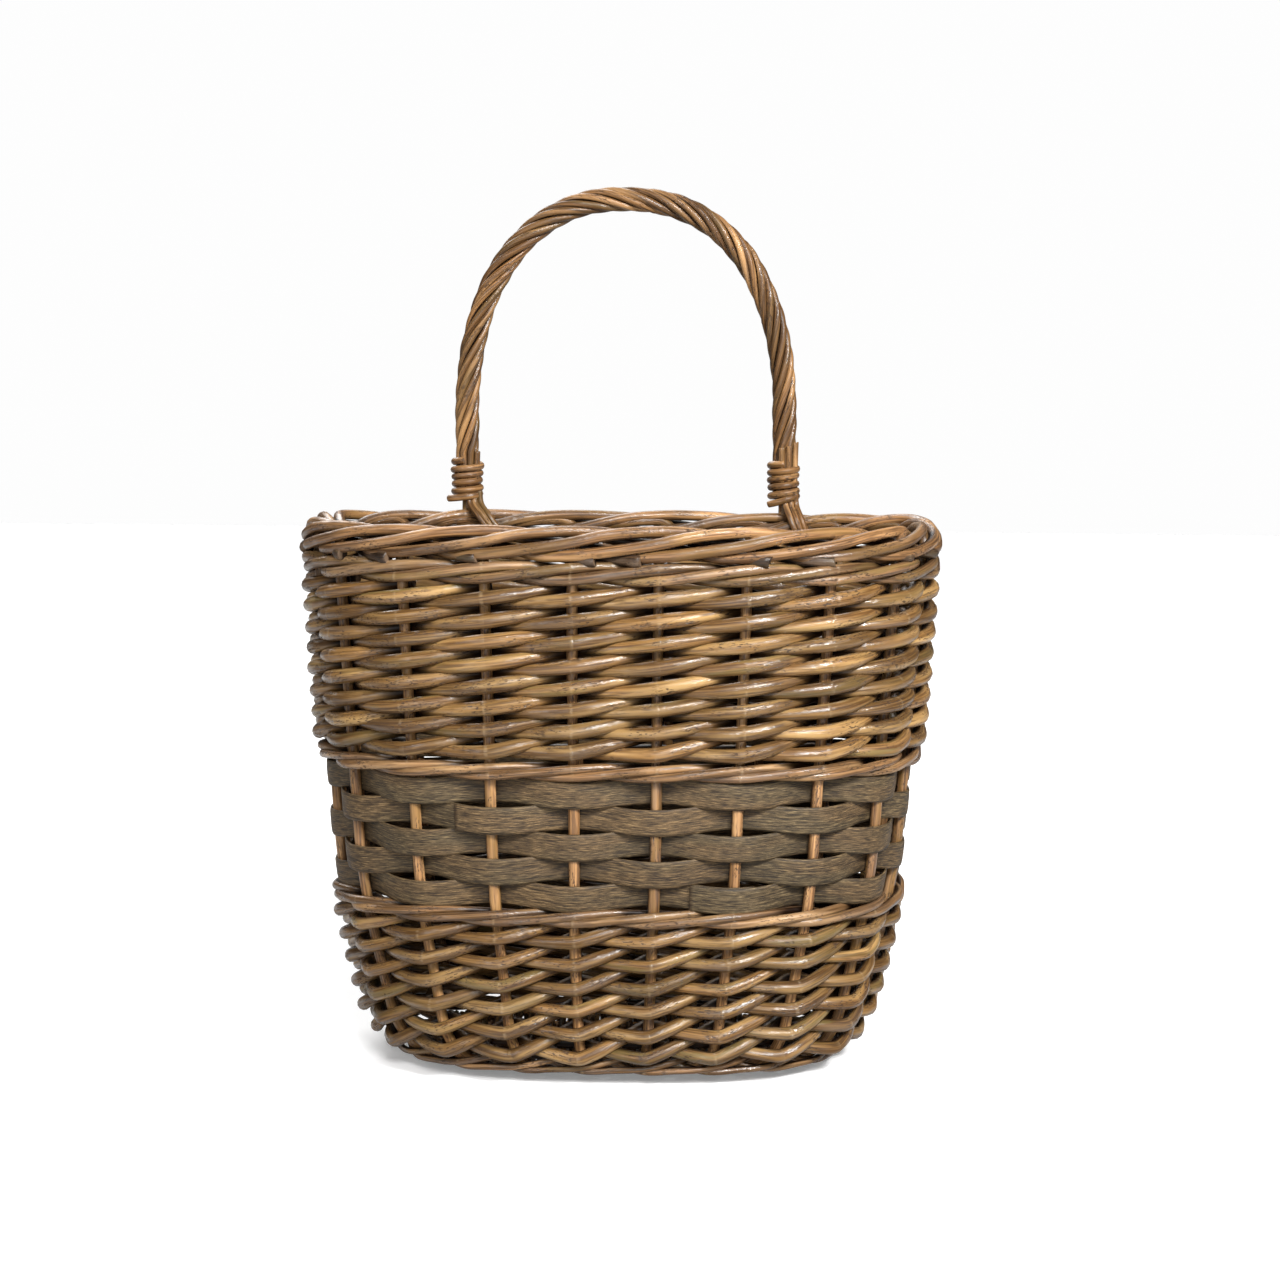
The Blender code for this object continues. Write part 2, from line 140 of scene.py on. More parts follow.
# Handle: where the bindings, the rope and the rope's loose ends are
BINDING_BOTTOM_Z = 0.3275
BINDING_TOP_Z = 0.3485
BINDING_TURNS = 5.15
BINDING_REACH = 0.0080
BINDING_START = {"left": 2.75, "right": 2.55}
BINDING_LEAN = {"left": 0.0004, "right": 0.0021}
ROPE_START_Z = 0.3560
TAIL_START = {"left": 0.0012, "right": 0.0004}
TAIL_SLANT = {"left": 0.0165, "right": 0.0088}
TAIL_SPACING = 0.0034
TAIL_INSIDE = -0.0125
CUT_TIP_REACH = 0.0074
CUT_TIPS = {"left": [(55, 0.3560)], "right": [(-12, 0.3600), (22, 0.3610), (62, 0.3635)]}

# Rod surfaces. A rod's cut end is a few narrower rings: each one's share of the radius, and 1 for cut wood.
# Bareness is near 0 where a rod faces another one and 1 or more where nothing is close to it.
# The materials darken sides of low bareness as painted shade, where rods face each other.
KNOT_HEIGHT = 0.00045
CUT_REACH = 0.17
CUT_RINGS = ((0.88, 0.0), (0.72, 1.0), (0.30, 1.0))
FULLY_BARE = 4.0
# Painted shade: the rods' inner sides are capped at this bareness so the materials darken them.
INSIDE_BARENESS = 0.85
# Negative open ways lower the rope's and the base rods' bareness, so they take more painted shade.
ROPE_OPEN_WAY = -0.13
BASE_OPEN_WAY = -0.12

# Colours
WHITE = (1.0, 1.0, 1.0)
# Painted shade colours: for the rods' recesses and for the strips where they pass behind stakes.
RECESS_SHADE = (0.10, 0.070, 0.045)
CHIP_RECESS_SHADE = (0.48, 0.46, 0.44)
STAIN = (0.085, 0.044, 0.020)
GREY_BARK = (0.150, 0.110, 0.085)
BUD = (0.045, 0.026, 0.016)
# Light colour at the crease over a stake: partly the bent wood, partly a painted highlight.
CREASE_AND_HIGHLIGHT = (0.50, 0.36, 0.20)
CUT_WOOD = (0.14, 0.090, 0.055)

# Lights: a sun's strength, softness in degrees and place; a softbox's place, size and power
AMBIENT = 0.05
BACKDROP = 0.985
FLOOR_GLOW = 0.22
KEY_SUN = (2.6, 16, (0.25, -1.0, 0.95))
BACK_SUN = (1.6, 50, (-0.35, 0.9, 1.3))
SOFTBOXES = {
    "window_light": ((1.0, -1.35, 1.35), 0.35, 48),
    "left_light": ((-1.3, -1.5, 1.0), 0.7, 8),
    "front_light": ((-0.2, -2.6, 0.55), 1.2, 14),
    "back_light": ((-0.9, 1.9, 2.4), 2.2, 45),
}
LIT_PLACE = (0, 0, 0.25)

# Camera: its turn is yaw, pitch down and roll in degrees
CAMERA_PLACE = (0.038, -1.4285, 0.3886)
CAMERA_TURN = (1.05, 5.59, 0.51)
CAMERA_LENS = 68.8


# ---- The wall ---------------------------------------------------------------------------------------


def unit_plan(samples=8000):
    """The plan for a half-width of 1, as x, y and the distance round from the middle of the front."""
    t = np.linspace(-math.pi / 2, 1.5 * math.pi, samples + 1)
    front = np.sin(t) < 0
    power = 2 / np.where(front, FRONT_SQUARENESS, BACK_SQUARENESS)
    depth = np.where(front, FRONT_DEPTH, BACK_DEPTH)
    x = np.sign(np.cos(t)) * np.abs(np.cos(t)) ** power
    y = np.sign(np.sin(t)) * depth * np.abs(np.sin(t)) ** power
    y += (FRONT_DEPTH - BACK_DEPTH) / 2
    round_it = np.concatenate([[0], np.cumsum(np.hypot(np.diff(x), np.diff(y)))])
    return x, y, round_it


PLAN_X, PLAN_Y, PLAN_ROUND = unit_plan()
HALF_ROUND = PLAN_ROUND[-1] / 2


def stake_spacing_knots():
    """Where the stake spaces fall round the unit plan: wide in front, closer round the corners."""
    in_front = FRONT_STAKE_SPACING / RIM_HALF_WIDTH * FRONT_STAKES_EACH_SIDE
    at_handle = HALF_ROUND - HANDLE_STAKE_X / RIM_HALF_WIDTH
    v = [0, FRONT_STAKES_EACH_SIDE, HANDLE_STAKE_V, STAKES / 2]
    s = [0, in_front, at_handle, HALF_ROUND]
    v += [STAKES - value for value in v[-2::-1]]
    s += [2 * HALF_ROUND - value for value in s[-2::-1]]
    return v, s


SPACING_V, SPACING_S = stake_spacing_knots()


def plan_point(v):
    s = np.interp(np.mod(v, STAKES), SPACING_V, SPACING_S)
    return np.interp(s, PLAN_ROUND, PLAN_X), np.interp(s, PLAN_ROUND, PLAN_Y)


def v_beside(v, distance):
    """The v that is a distance round the rim from a given v."""
    s = np.interp(v, SPACING_V, SPACING_S) + distance / RIM_HALF_WIDTH
    return float(np.interp(s, SPACING_S, SPACING_V))


def rounded_path(points, reaches, steps=24):
    """A polyline whose inner corners are eased by a curve that starts `reach` before each corner."""
    points = [np.array(p, float) for p in points]
    path = [points[0]]
    for before, corner, after, reach in zip(points, points[1:], points[2:], reaches):
        start = corner + (before - corner) * reach / np.linalg.norm(before - corner)
        end = corner + (after - corner) * reach / np.linalg.norm(after - corner)
        for t in np.linspace(0, 1, steps + 1):
            path.append((1 - t) ** 2 * start + 2 * t * (1 - t) * corner + t**2 * end)
    return np.array([*path, points[-1]])


def wall_profile():
    """Half-width, shift to the back and height up the wall, with the distance along it."""
    heel_shift = BACKWARD_SHARE * (RIM_HALF_WIDTH - HEEL_HALF_WIDTH)
    shoulder_shift = BACKWARD_SHARE * (RIM_HALF_WIDTH - SHOULDER_HALF_WIDTH)
    path = rounded_path(
        [
            (STAKE_FOOT_HALF_WIDTH, heel_shift, STAKE_FOOT_Z),
            (HEEL_HALF_WIDTH, heel_shift, STAKE_FOOT_Z),
            (SHOULDER_HALF_WIDTH, shoulder_shift, SHOULDER_Z),
            (RIM_HALF_WIDTH, 0, RIM_TOP_Z),
        ],
        [FOOT_CURVE, SHOULDER_CURVE],
    )
    rise = (RIM_HALF_WIDTH - SHOULDER_HALF_WIDTH) / (RIM_TOP_Z - SHOULDER_Z)
    above = (RIM_HALF_WIDTH + 0.01 * rise, 0, RIM_TOP_Z + 0.01)
    path = np.array([*path, above])
    steps = np.hypot(np.diff(path[:, 0]), np.diff(path[:, 2]))
    return path, np.concatenate([[0], np.cumsum(steps)])


PROFILE, PROFILE_H = wall_profile()


def h_at(z):
    return np.interp(z, PROFILE[:, 2], PROFILE_H)


def wall_middle(v, h):
    half_width, shift, z = (np.interp(h, PROFILE_H, PROFILE[:, k]) for k in range(3))
    x, y = plan_point(v)
    return np.stack([half_width * x, shift + half_width * y, z], axis=-1)


def wall(v, h, out):
    """Points at (v, h, out) on the wall, and the wall's outward directions there."""
    step_v, step_h = 0.04, 0.001
    v, h, out = np.broadcast_arrays(np.asarray(v, float), np.asarray(h, float), np.asarray(out, float))
    along = wall_middle(v + step_v, h) - wall_middle(v - step_v, h)
    low = np.maximum(h - step_h, 0)
    high = np.minimum(h + step_h, PROFILE_H[-1])
    upwards = wall_middle(v, high) - wall_middle(v, low)
    outwards = unit(np.cross(along, upwards))
    return wall_middle(v, h) + outwards * out[..., None], outwards


# ---- Meshes -----------------------------------------------------------------------------------------


def unit(vectors):
    return vectors / np.linalg.norm(vectors, axis=-1, keepdims=True)


def random_for(name):
    """A source of random numbers that is the same each run for a piece of this name."""
    return np.random.default_rng(zlib.crc32(name.encode()))


def smooth_noise(random, positions, spacing):
    """A smooth random value near -1 to 1 along a list of positions."""
    start, end = positions.min() - spacing, positions.max() + 2 * spacing
    knots = np.arange(start, end, spacing)
    values = random.uniform(-1, 1, len(knots))
    place = (positions - start) / spacing
    index = np.clip(place.astype(int), 0, len(knots) - 2)
    t = place - index
    t = t * t * (3 - 2 * t)
    return values[index] * (1 - t) + values[index + 1] * t


def kinked(u, knots, values, ease):
    """A line from knot to knot whose corners are rounded over a width of ease."""
    shifts = np.linspace(-ease / 2, ease / 2, 7)
    return np.mean([np.interp(u + shift, knots, values) for shift in shifts], axis=0)


def flowing(u, knots, values):
    """A smooth line through knots (a Hermite curve that doesn't overshoot much)."""
    knots = np.asarray(knots, float)
    values = np.asarray(values, float)
    slopes = np.gradient(values, knots)
    index = np.clip(np.searchsorted(knots, u) - 1, 0, len(knots) - 2)
    width = knots[index + 1] - knots[index]
    t = np.clip((u - knots[index]) / width, 0, 1)
    a = (1 + 2 * t) * (1 - t) ** 2 * values[index] + t * (1 - t) ** 2 * width * slopes[index]
    b = t * t * (3 - 2 * t) * values[index + 1] + t * t * (t - 1) * width * slopes[index + 1]
    return a + b


def distance_along(points):
    return np.concatenate([[0], np.cumsum(np.linalg.norm(np.diff(points, axis=0), axis=1))])


def evenly(points, spacing, *others):
    """The points of a line at an even spacing, with other values carried along."""
    s = distance_along(points)
    count = max(2, int(round(s[-1] / spacing)) + 1)
    at = np.linspace(0, s[-1], count)
    made = []
    for values in (points, *others):
        values = np.asarray(values, float)
        if values.ndim == 1:
            made.append(np.interp(at, s, values))
        else:
            made.append(np.stack([np.interp(at, s, values[:, k]) for k in range(values.shape[1])], axis=1))
    return made


def tangents_of(points):
    return unit(np.gradient(points, axis=0))


def carried_side(points, first):
    """A sideways direction that is carried along a line without twisting."""
    tangents = tangents_of(points)
    side = Vector(first)
    sides = []
    for tangent in tangents:
        tangent = Vector(tangent)
        side = (side - tangent * side.dot(tangent)).normalized()
        sides.append(side)
    return np.array(sides)


class Shape:
    """Points, faces and the per-point values that the materials read, gathered into one mesh."""

    def __init__(self):
        self.points = []
        self.faces = []
        self.place = []
        self.tint = []
        self.marks = []
        self.bareness = []
        self.count = 0

    def add(self, points, faces, place, tint, marks, bareness):
        """marks holds the distance to the nearest crossed stake, the knots and the cut ends."""
        self.points.append(points)
        self.bareness.append(np.broadcast_to(bareness, (len(points),)))
        self.faces += [tuple(self.count + i for i in face) for face in faces]
        self.place.append(place)
        self.tint.append(np.tile(tint, (len(points), 1)))
        self.marks.append(marks)
        self.count += len(points)

    def piece(self, name, material, nodes=()):
        mesh = bpy.data.meshes.new(name)
        mesh.from_pydata(np.concatenate(self.points).tolist(), [], self.faces)
        for title, values in (("rod_place", self.place), ("rod_tint", self.tint), ("rod_marks", self.marks)):
            attribute = mesh.attributes.new(title, "FLOAT_VECTOR", "POINT")
            attribute.data.foreach_set("vector", np.concatenate(values).astype(np.float32).ravel())
        bareness = mesh.attributes.new("rod_bareness", "FLOAT", "POINT")
        bareness.data.foreach_set("value", np.concatenate(self.bareness).astype(np.float32))
        mesh.polygons.foreach_set("use_smooth", [True] * len(mesh.polygons))
        mesh.materials.append(material)
        mesh.validate()
        made = bpy.data.objects.new(name, mesh)
        bpy.context.scene.collection.objects.link(made)
        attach(made, "root")
        if nodes:
            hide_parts(*nodes)
        return made


def knot_marks(random, s, angles, knot_spacing):
    """Where the rod's buds were: how much each one swells the rod, for each ring and side."""
    swell = np.zeros((len(s), len(angles)))
    at = s[0] + random.uniform(0.1, 1) * knot_spacing
    while at < s[-1]:
        facing = random.uniform(0, 2 * math.pi)
        size = random.uniform(0.35, 1)
        turn = np.angle(np.exp(1j * (angles - facing)))
        swell += size * np.outer(np.exp(-(((s - at) / 0.0022) ** 2)), np.exp(-((turn / 0.55) ** 2)))
        at += random.uniform(0.5, 1.6) * knot_spacing
    return swell


def add_rod(shape, random, points, radius, side, crossed=None, depth=None, open_way=None, sides=12,
            knots=0.06, flatten=0.0, slants=(0.12, 0.12)):
    """One round rod along a line, closed by a cut at each end.

    side points outwards, crossed is the distance to the nearest stake that the rod crosses, depth is how
    far outside the wall's middle the rod's own middle is, open_way is 1 where no other rod covers it, and
    slants say how far each cut leans.
    """
    count = len(points)
    s = distance_along(points)
    tangents = tangents_of(points)
    side = unit(side - tangents * np.sum(side * tangents, axis=1, keepdims=True))
    other = np.cross(tangents, side)
    angles = np.arange(sides) * 2 * math.pi / sides
    radius = np.broadcast_to(radius, (count,)).copy()
    radius *= 1 + 0.035 * smooth_noise(random, s, 0.03) + 0.015 * smooth_noise(random, s, 0.009)
    swell = knot_marks(random, s, angles, knots) if knots else np.zeros((count, sides))
    oval = 1 + 0.03 * np.outer(smooth_noise(random, s, 0.05), np.cos(2 * angles))
    across = radius[:, None] * oval + KNOT_HEIGHT * swell
    first = across * np.cos(angles)
    second = across * np.sin(angles) * (1 - np.broadcast_to(flatten, (count,))[:, None])
    near = np.full(count, 1.0) if crossed is None else crossed
    middle_depth = np.zeros(count) if depth is None else depth
    open_way = np.full(count, 1.0 if depth is None else 0.0) if open_way is None else open_way
    offset = random.uniform(0, 5, 3)
    rings = []

    def add_ring(i, scale, beyond, cut):
        lean = slants[0 if i == 0 else 1] * radius[i] * np.sin(angles) * scale
        push = tangents[i] * (beyond + (lean[:, None] if cut is not None else 0.0))
        ring = points[i] + side[i] * (first[i] * scale)[:, None] + other[i] * (second[i] * scale)[:, None]
        place = np.stack([np.full(sides, s[i]), first[i] * scale, second[i] * scale], axis=1) + offset
        marks = np.stack([np.full(sides, near[i]), swell[i], np.full(sides, cut or 0.0)], axis=1)
        # Bareness drives the materials' painted shade where the rod faces others, and painted light where it
        # is fully bare.
        bareness = 1 + middle_depth[i] / radius[i] * np.cos(angles)
        # Painted shade: inner sides are held at INSIDE_BARENESS so they are painted darker.
        bareness = np.where(np.cos(angles) < -0.2, np.minimum(bareness, INSIDE_BARENESS), bareness)
        bareness += open_way[i] * FULLY_BARE
        rings.append((ring + push, place, marks, bareness))

    last = count - 1
    for scale, cut in CUT_RINGS[::-1]:
        add_ring(0, scale, -CUT_REACH * radius[0], cut)
    for i in range(count):
        add_ring(i, 1.0, 0.0, None)
    for scale, cut in CUT_RINGS:
        add_ring(last, scale, CUT_REACH * radius[last], cut)
    faces = []
    for i in range(len(rings) - 1):
        for k in range(sides):
            j = (k + 1) % sides
            faces.append((i * sides + k, i * sides + j, (i + 1) * sides + j, (i + 1) * sides + k))
    faces.append(tuple(range(sides))[::-1])
    faces.append(tuple((len(rings) - 1) * sides + k for k in range(sides)))
    joined = [np.concatenate([ring[part] for ring in rings]) for part in range(4)]
    shape.add(joined[0], faces, joined[1], random.uniform(0, 1, 3), joined[2], joined[3])


def wall_rod(shape, random, v, h, out, radius, **options):
    """A rod that follows the wall, sampled finely enough for its bends."""
    points, outwards = wall(v, h, out)
    crossed = np.abs(v - np.floor(v) - 0.5)
    spread = np.gradient(distance_along(points), v)
    crossed = np.where(out > 0, crossed * np.abs(spread), 1.0)
    width = np.broadcast_to(radius, (len(points),))
    flat = np.broadcast_to(options.pop("flatten", 0.0), (len(points),))
    values = (outwards, crossed, width, flat, np.broadcast_to(out, (len(points),)))
    points, outwards, crossed, width, flat, depth = evenly(points, ROD_STEP, *values)
    add_rod(shape, random, points, width, outwards, crossed=crossed, flatten=flat, depth=depth, **options)


# ---- Materials --------------------------------------------------------------------------------------


class Nodes:
    """Short ways to add shader nodes to a material."""

    def __init__(self, name):
        self.material = bpy.data.materials.new(name)
        self.material.use_nodes = True
        self.tree = self.material.node_tree
        self.shader = self.tree.nodes["Principled BSDF"]

    def add(self, kind, **settings):
        made = self.tree.nodes.new(kind)
        for title, value in settings.items():
            setattr(made, title, value)
        return made

    def set(self, socket, value):
        if isinstance(value, bpy.types.NodeSocket):
            self.tree.links.new(value, socket)
        else:
            socket.default_value = value

    def surface(self, socket, value):
        self.set(self.shader.inputs[socket], value)

    def math(self, operation, a, b):
        made = self.add("ShaderNodeMath", operation=operation)
        self.set(made.inputs[0], a)
        self.set(made.inputs[1], b)
        return made.outputs[0]

    def times(self, a, b):
        return self.math("MULTIPLY", a, b)

    def attribute(self, name):
        return self.add("ShaderNodeAttribute", attribute_name=name).outputs["Vector"]

    def split(self, vector):
        made = self.add("ShaderNodeSeparateXYZ")
        self.set(made.inputs[0], vector)
        return made.outputs

    def stretched(self, vector, scale):
        made = self.add("ShaderNodeVectorMath", operation="MULTIPLY")
        self.set(made.inputs[0], vector)
        self.set(made.inputs[1], scale)
        return made.outputs[0]

    def noise(self, vector, detail=2.0, roughness=0.5):
        made = self.add("ShaderNodeTexNoise")
        self.set(made.inputs["Vector"], vector)
        self.set(made.inputs["Scale"], 1.0)
        self.set(made.inputs["Detail"], detail)
        self.set(made.inputs["Roughness"], roughness)
        return made.outputs["Fac"]

    def between(self, value, low, high, to_low=0.0, to_high=1.0):
        made = self.add("ShaderNodeMapRange", interpolation_type="SMOOTHSTEP")
        self.set(made.inputs["Value"], value)
        self.set(made.inputs["From Min"], low)
        self.set(made.inputs["From Max"], high)
        self.set(made.inputs["To Min"], to_low)
        self.set(made.inputs["To Max"], to_high)
        return made.outputs["Result"]

    def mix(self, share, a, b, blend="MIX"):
        made = self.add("ShaderNodeMix", data_type="RGBA", blend_type=blend)
        self.set(made.inputs[0], share)
        self.set(made.inputs[6], colour(a))
        self.set(made.inputs[7], colour(b))
        return made.outputs[2]

    def shade(self, base, other):
        return self.mix(1.0, base, other, "MULTIPLY")

    def grey(self, value):
        """A grey whose brightness is the value."""
        made = self.add("ShaderNodeCombineXYZ")
        for socket in made.inputs:
            self.set(socket, value)
        return made.outputs[0]

    def recess(self, low=0.12, high=1.42):
        """0 on sides that face another rod and 1 on bare sides; the materials darken by it as painted shade
        in the recesses.
        """
        return self.by_bareness(low, high)

    def by_bareness(self, low, high, to_low=0.0, to_high=1.0):
        """A value that follows how bare the rod is."""
        bareness = self.add("ShaderNodeAttribute", attribute_name="rod_bareness").outputs["Fac"]
        return self.between(bareness, low, high, to_low, to_high)

    def bump(self, height, strength, distance):
        made = self.add("ShaderNodeBump")
        self.set(made.inputs["Height"], height)
        self.set(made.inputs["Strength"], strength)
        self.set(made.inputs["Distance"], distance)
        return made.outputs["Normal"]


def colour(value):
    return (*value, 1.0) if isinstance(value, tuple) and len(value) == 3 else value


def willow(name, light, middle, dark, olive, roughness, coat, open_painted_light=1.0):
    """Varnished willow: long fibres, patches of olive and grey, buds, flecks, creases lightened partly as a
    painted highlight, cut ends, and painted shade where rods face each other.

    open_painted_light is painted light: how much lighter a rod is where nothing at all covers it.
    """
    n = Nodes(name)
    place = n.attribute("rod_place")
    tint = n.split(n.attribute("rod_tint"))
    marks = n.split(n.attribute("rod_marks"))
    fibres = n.noise(n.stretched(place, (22, 1100, 1100)), 3, 0.6)
    patches = n.noise(n.stretched(place, (16, 160, 160)), 2, 0.55)
    clouds = n.noise(n.stretched(place, (31, 240, 240)), 2, 0.5)
    flecks = n.noise(n.stretched(place, (380, 1300, 1300)), 1, 0.5)
    fleck_areas = n.noise(n.stretched(place, (45, 120, 120)), 1, 0.5)
    base = n.mix(n.between(fibres, 0.36, 0.64), dark, middle)
    base = n.mix(n.between(patches, 0.46, 0.70), base, light)
    stains = n.noise(n.stretched(place, (38, 620, 620)), 3, 0.65)
    base = n.mix(n.times(n.between(stains, 0.52, 0.62), 0.72), base, STAIN)
    green_rod = n.between(tint[0], 0.35, 1.0, 0.05, 0.7)
    base = n.mix(n.times(n.between(clouds, 0.45, 0.62), green_rod), base, olive)
    grey_rod = n.between(tint[1], 0.4, 1.0, 0.0, 0.28)
    base = n.mix(n.times(n.between(clouds, 0.50, 0.36), grey_rod), base, GREY_BARK)
    bright = n.between(tint[2], 0.0, 1.0, 0.60, 1.04)
    base = n.shade(base, n.grey(bright))
    speck = n.times(n.between(flecks, 0.56, 0.64), n.between(fleck_areas, 0.50, 0.60))
    base = n.mix(n.times(speck, 0.85), base, BUD)
    bud = n.between(marks[1], 0.25, 0.85)
    base = n.mix(n.times(bud, 0.8), base, BUD)
    # Lighter where the rod bends over a stake: partly a real crease, partly a painted highlight.
    crease_and_highlight = n.between(marks[0], 0.0016, 0.0003)
    crease_and_highlight = n.times(crease_and_highlight, n.between(stains, 0.42, 0.56))
    base = n.mix(n.times(crease_and_highlight, 0.22), base, CREASE_AND_HIGHLIGHT)
    base = n.mix(n.times(marks[2], 0.8), base, CUT_WOOD)
    # Painted shade: darker towards RECESS_SHADE where the rod faces another rod.
    recess = n.recess()
    base = n.shade(base, n.mix(recess, RECESS_SHADE, WHITE))
    # Painted light: a rod that nothing covers is lightened by open_painted_light.
    base = n.shade(base, n.grey(n.by_bareness(2.5, 4.5, 1.0, open_painted_light)))
    n.surface("Base Color", base)
    rough = n.math("ADD", n.between(fibres, 0.2, 0.8, roughness - 0.08, roughness + 0.10), speck)
    n.surface("Roughness", n.math("MINIMUM", rough, 0.85))
    gloss = n.noise(n.stretched(place, (60, 420, 420)), 2, 0.6)
    gloss = n.times(n.between(gloss, 0.42, 0.56, 0.05, 1.0), coat)
    n.surface("Coat Weight", n.times(gloss, recess))
    n.surface("Coat Roughness", 0.15)
    n.surface("Specular IOR Level", 0.25)
    height = n.math("ADD", n.times(fibres, 0.5), n.times(patches, 0.8))
    height = n.math("SUBTRACT", height, n.times(speck, 0.6))
    height = n.math("ADD", height, n.times(crease_and_highlight, 0.7))
    n.surface("Normal", n.bump(height, 0.55, 0.0005))
    crackle = n.noise(n.stretched(place, (420, 900, 900)), 2, 0.6)
    n.surface("Coat Normal", n.bump(n.math("ADD", crackle, height), 0.7, 0.0005))
    return n.material


def chip_material():
    """Flat wood strips, weathered grey-brown, with a fine grain along them and painted shade where they pass
    behind the stakes.
    """
    n = Nodes("chip_strip_wood")
    place = n.attribute("rod_place")
    tint = n.split(n.attribute("rod_tint"))
    marks = n.split(n.attribute("rod_marks"))
    grain = n.noise(n.stretched(place, (150, 2900, 2900)), 3, 0.65)
    lines = n.noise(n.stretched(place, (60, 1250, 1250)), 3, 0.6)
    clouds = n.noise(n.stretched(place, (14, 60, 60)), 2, 0.5)
    base = n.mix(n.between(grain, 0.38, 0.60), (0.022, 0.015, 0.008), (0.122, 0.085, 0.044))
    base = n.mix(n.times(n.between(grain, 0.56, 0.68), 0.80), base, (0.29, 0.215, 0.118))
    base = n.mix(n.times(n.between(lines, 0.52, 0.68), 0.35), base, (0.17, 0.120, 0.066))
    base = n.mix(n.times(n.between(lines, 0.47, 0.32), 0.80), base, (0.016, 0.010, 0.005))
    warm = n.mix(n.between(clouds, 0.38, 0.62), (0.88, 0.86, 0.78), (1.08, 0.95, 0.80))
    base = n.shade(base, warm)
    bright = n.between(tint[2], 0.0, 1.0, 0.9, 1.12)
    base = n.shade(base, n.grey(bright))
    base = n.mix(n.times(marks[2], 0.55), base, BUD)
    # Painted shade: darker towards CHIP_RECESS_SHADE where the strip faces a stake or passes behind it.
    base = n.shade(base, n.mix(n.recess(-0.6, 0.9), CHIP_RECESS_SHADE, WHITE))
    n.surface("Base Color", base)
    n.surface("Roughness", n.between(grain, 0.2, 0.8, 0.52, 0.72))
    n.surface("Coat Weight", 0.12)
    n.surface("Coat Roughness", 0.45)
    n.surface("Specular IOR Level", 0.3)
    height = n.math("ADD", grain, n.times(lines, 1.4))
    n.surface("Normal", n.bump(height, 0.7, 0.00035))
    return n.material


def floor_material():
    """A pale floor that looks brighter than the light it throws back up at the basket."""
    n = Nodes("pale_floor")
    seen = n.add("ShaderNodeLightPath").outputs["Is Camera Ray"]
    n.surface("Base Color", n.mix(seen, (0.4, 0.4, 0.4), (0.9, 0.9, 0.9)))
    n.surface("Roughness", 0.9)
    n.surface("Emission Color", (1, 1, 1, 1))
    n.surface("Emission Strength", n.times(seen, FLOOR_GLOW))
    return n.material


RAND_WILLOW = willow(
    "rand_willow_varnished", (0.41, 0.245, 0.092), (0.265, 0.140, 0.045), (0.105, 0.048, 0.014),
    (0.180, 0.130, 0.042), 0.42, 1.0,
)
WALE_WILLOW = willow(
    "wale_willow_varnished", (0.42, 0.250, 0.115), (0.255, 0.134, 0.055), (0.070, 0.034, 0.013),
    (0.20, 0.125, 0.043), 0.38, 0.85,
)
STAKE_WILLOW = willow(
    "stake_willow_varnished", (0.40, 0.222, 0.095), (0.250, 0.128, 0.050), (0.080, 0.037, 0.014),
    (0.18, 0.100, 0.032), 0.42, 0.6, open_painted_light=1.45,
)
HANDLE_WILLOW = willow(
    "handle_willow_varnished", (0.43, 0.235, 0.095), (0.260, 0.126, 0.043), (0.085, 0.038, 0.012),
    (0.17, 0.105, 0.035), 0.44, 0.40,
)
TIP_WILLOW = willow(
    "tip_willow_varnished", (0.13, 0.080, 0.045), (0.060, 0.033, 0.018), (0.018, 0.010, 0.006),
    (0.09, 0.066, 0.034), 0.45, 0.4,
)
CHIP_WOOD = chip_material()


# ---- Wall -------------------------------------------------------------------------------------------


def nodes_named(prefix):
    return sorted(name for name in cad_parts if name.startswith(prefix))


def handle_v():
    """The v of the bow's two feet, each just outside its own stake."""
    right = v_beside(HANDLE_STAKE_V, -BOW_BESIDE_STAKE)
    return right, STAKES - right


def border_route(v0, random):
    """A stake's way from upright into the rolled border: v, z and out."""
    knots = [
        (-0.02, 0.2960, 0.0000),
        (0.00, 0.3040, 0.0000),
        (0.03, 0.3095, -0.0003),
        (0.10, 0.3130, -0.0016),
        (0.28, 0.3140, -0.0042),
        (0.60, 0.3118, -0.0058),
        (1.00, 0.3096, -0.0060),
        (1.35, 0.3066, -0.0036),
        (1.65, 0.3040, 0.0022),
        (2.00, 0.3048, 0.0058),
        (2.50, 0.3078, 0.0064),
        (3.00, 0.3116, 0.0060),
        (3.40, 0.3154, 0.0034),
        (3.75, 0.3168, 0.0002),
        (4.10, 0.3170, -0.0030),
        (4.50, 0.3150, -0.0072),
        (4.90, 0.3095, -0.0100),
        (5.25, 0.3045, -0.0096),
    ]
    u, z, out = np.array(knots).T
    z = z + np.where(u > 0.5, random.uniform(-0.0006, 0.0006), 0)
    out = out + np.where(u > 1.6, random.uniform(-0.0003, 0.0006), 0)
    fine = np.concatenate([np.linspace(-0.02, 0.3, 40), np.linspace(0.31, 5.25, 280)])
    return v0 + fine, flowing(fine, u, z), flowing(fine, u, out)


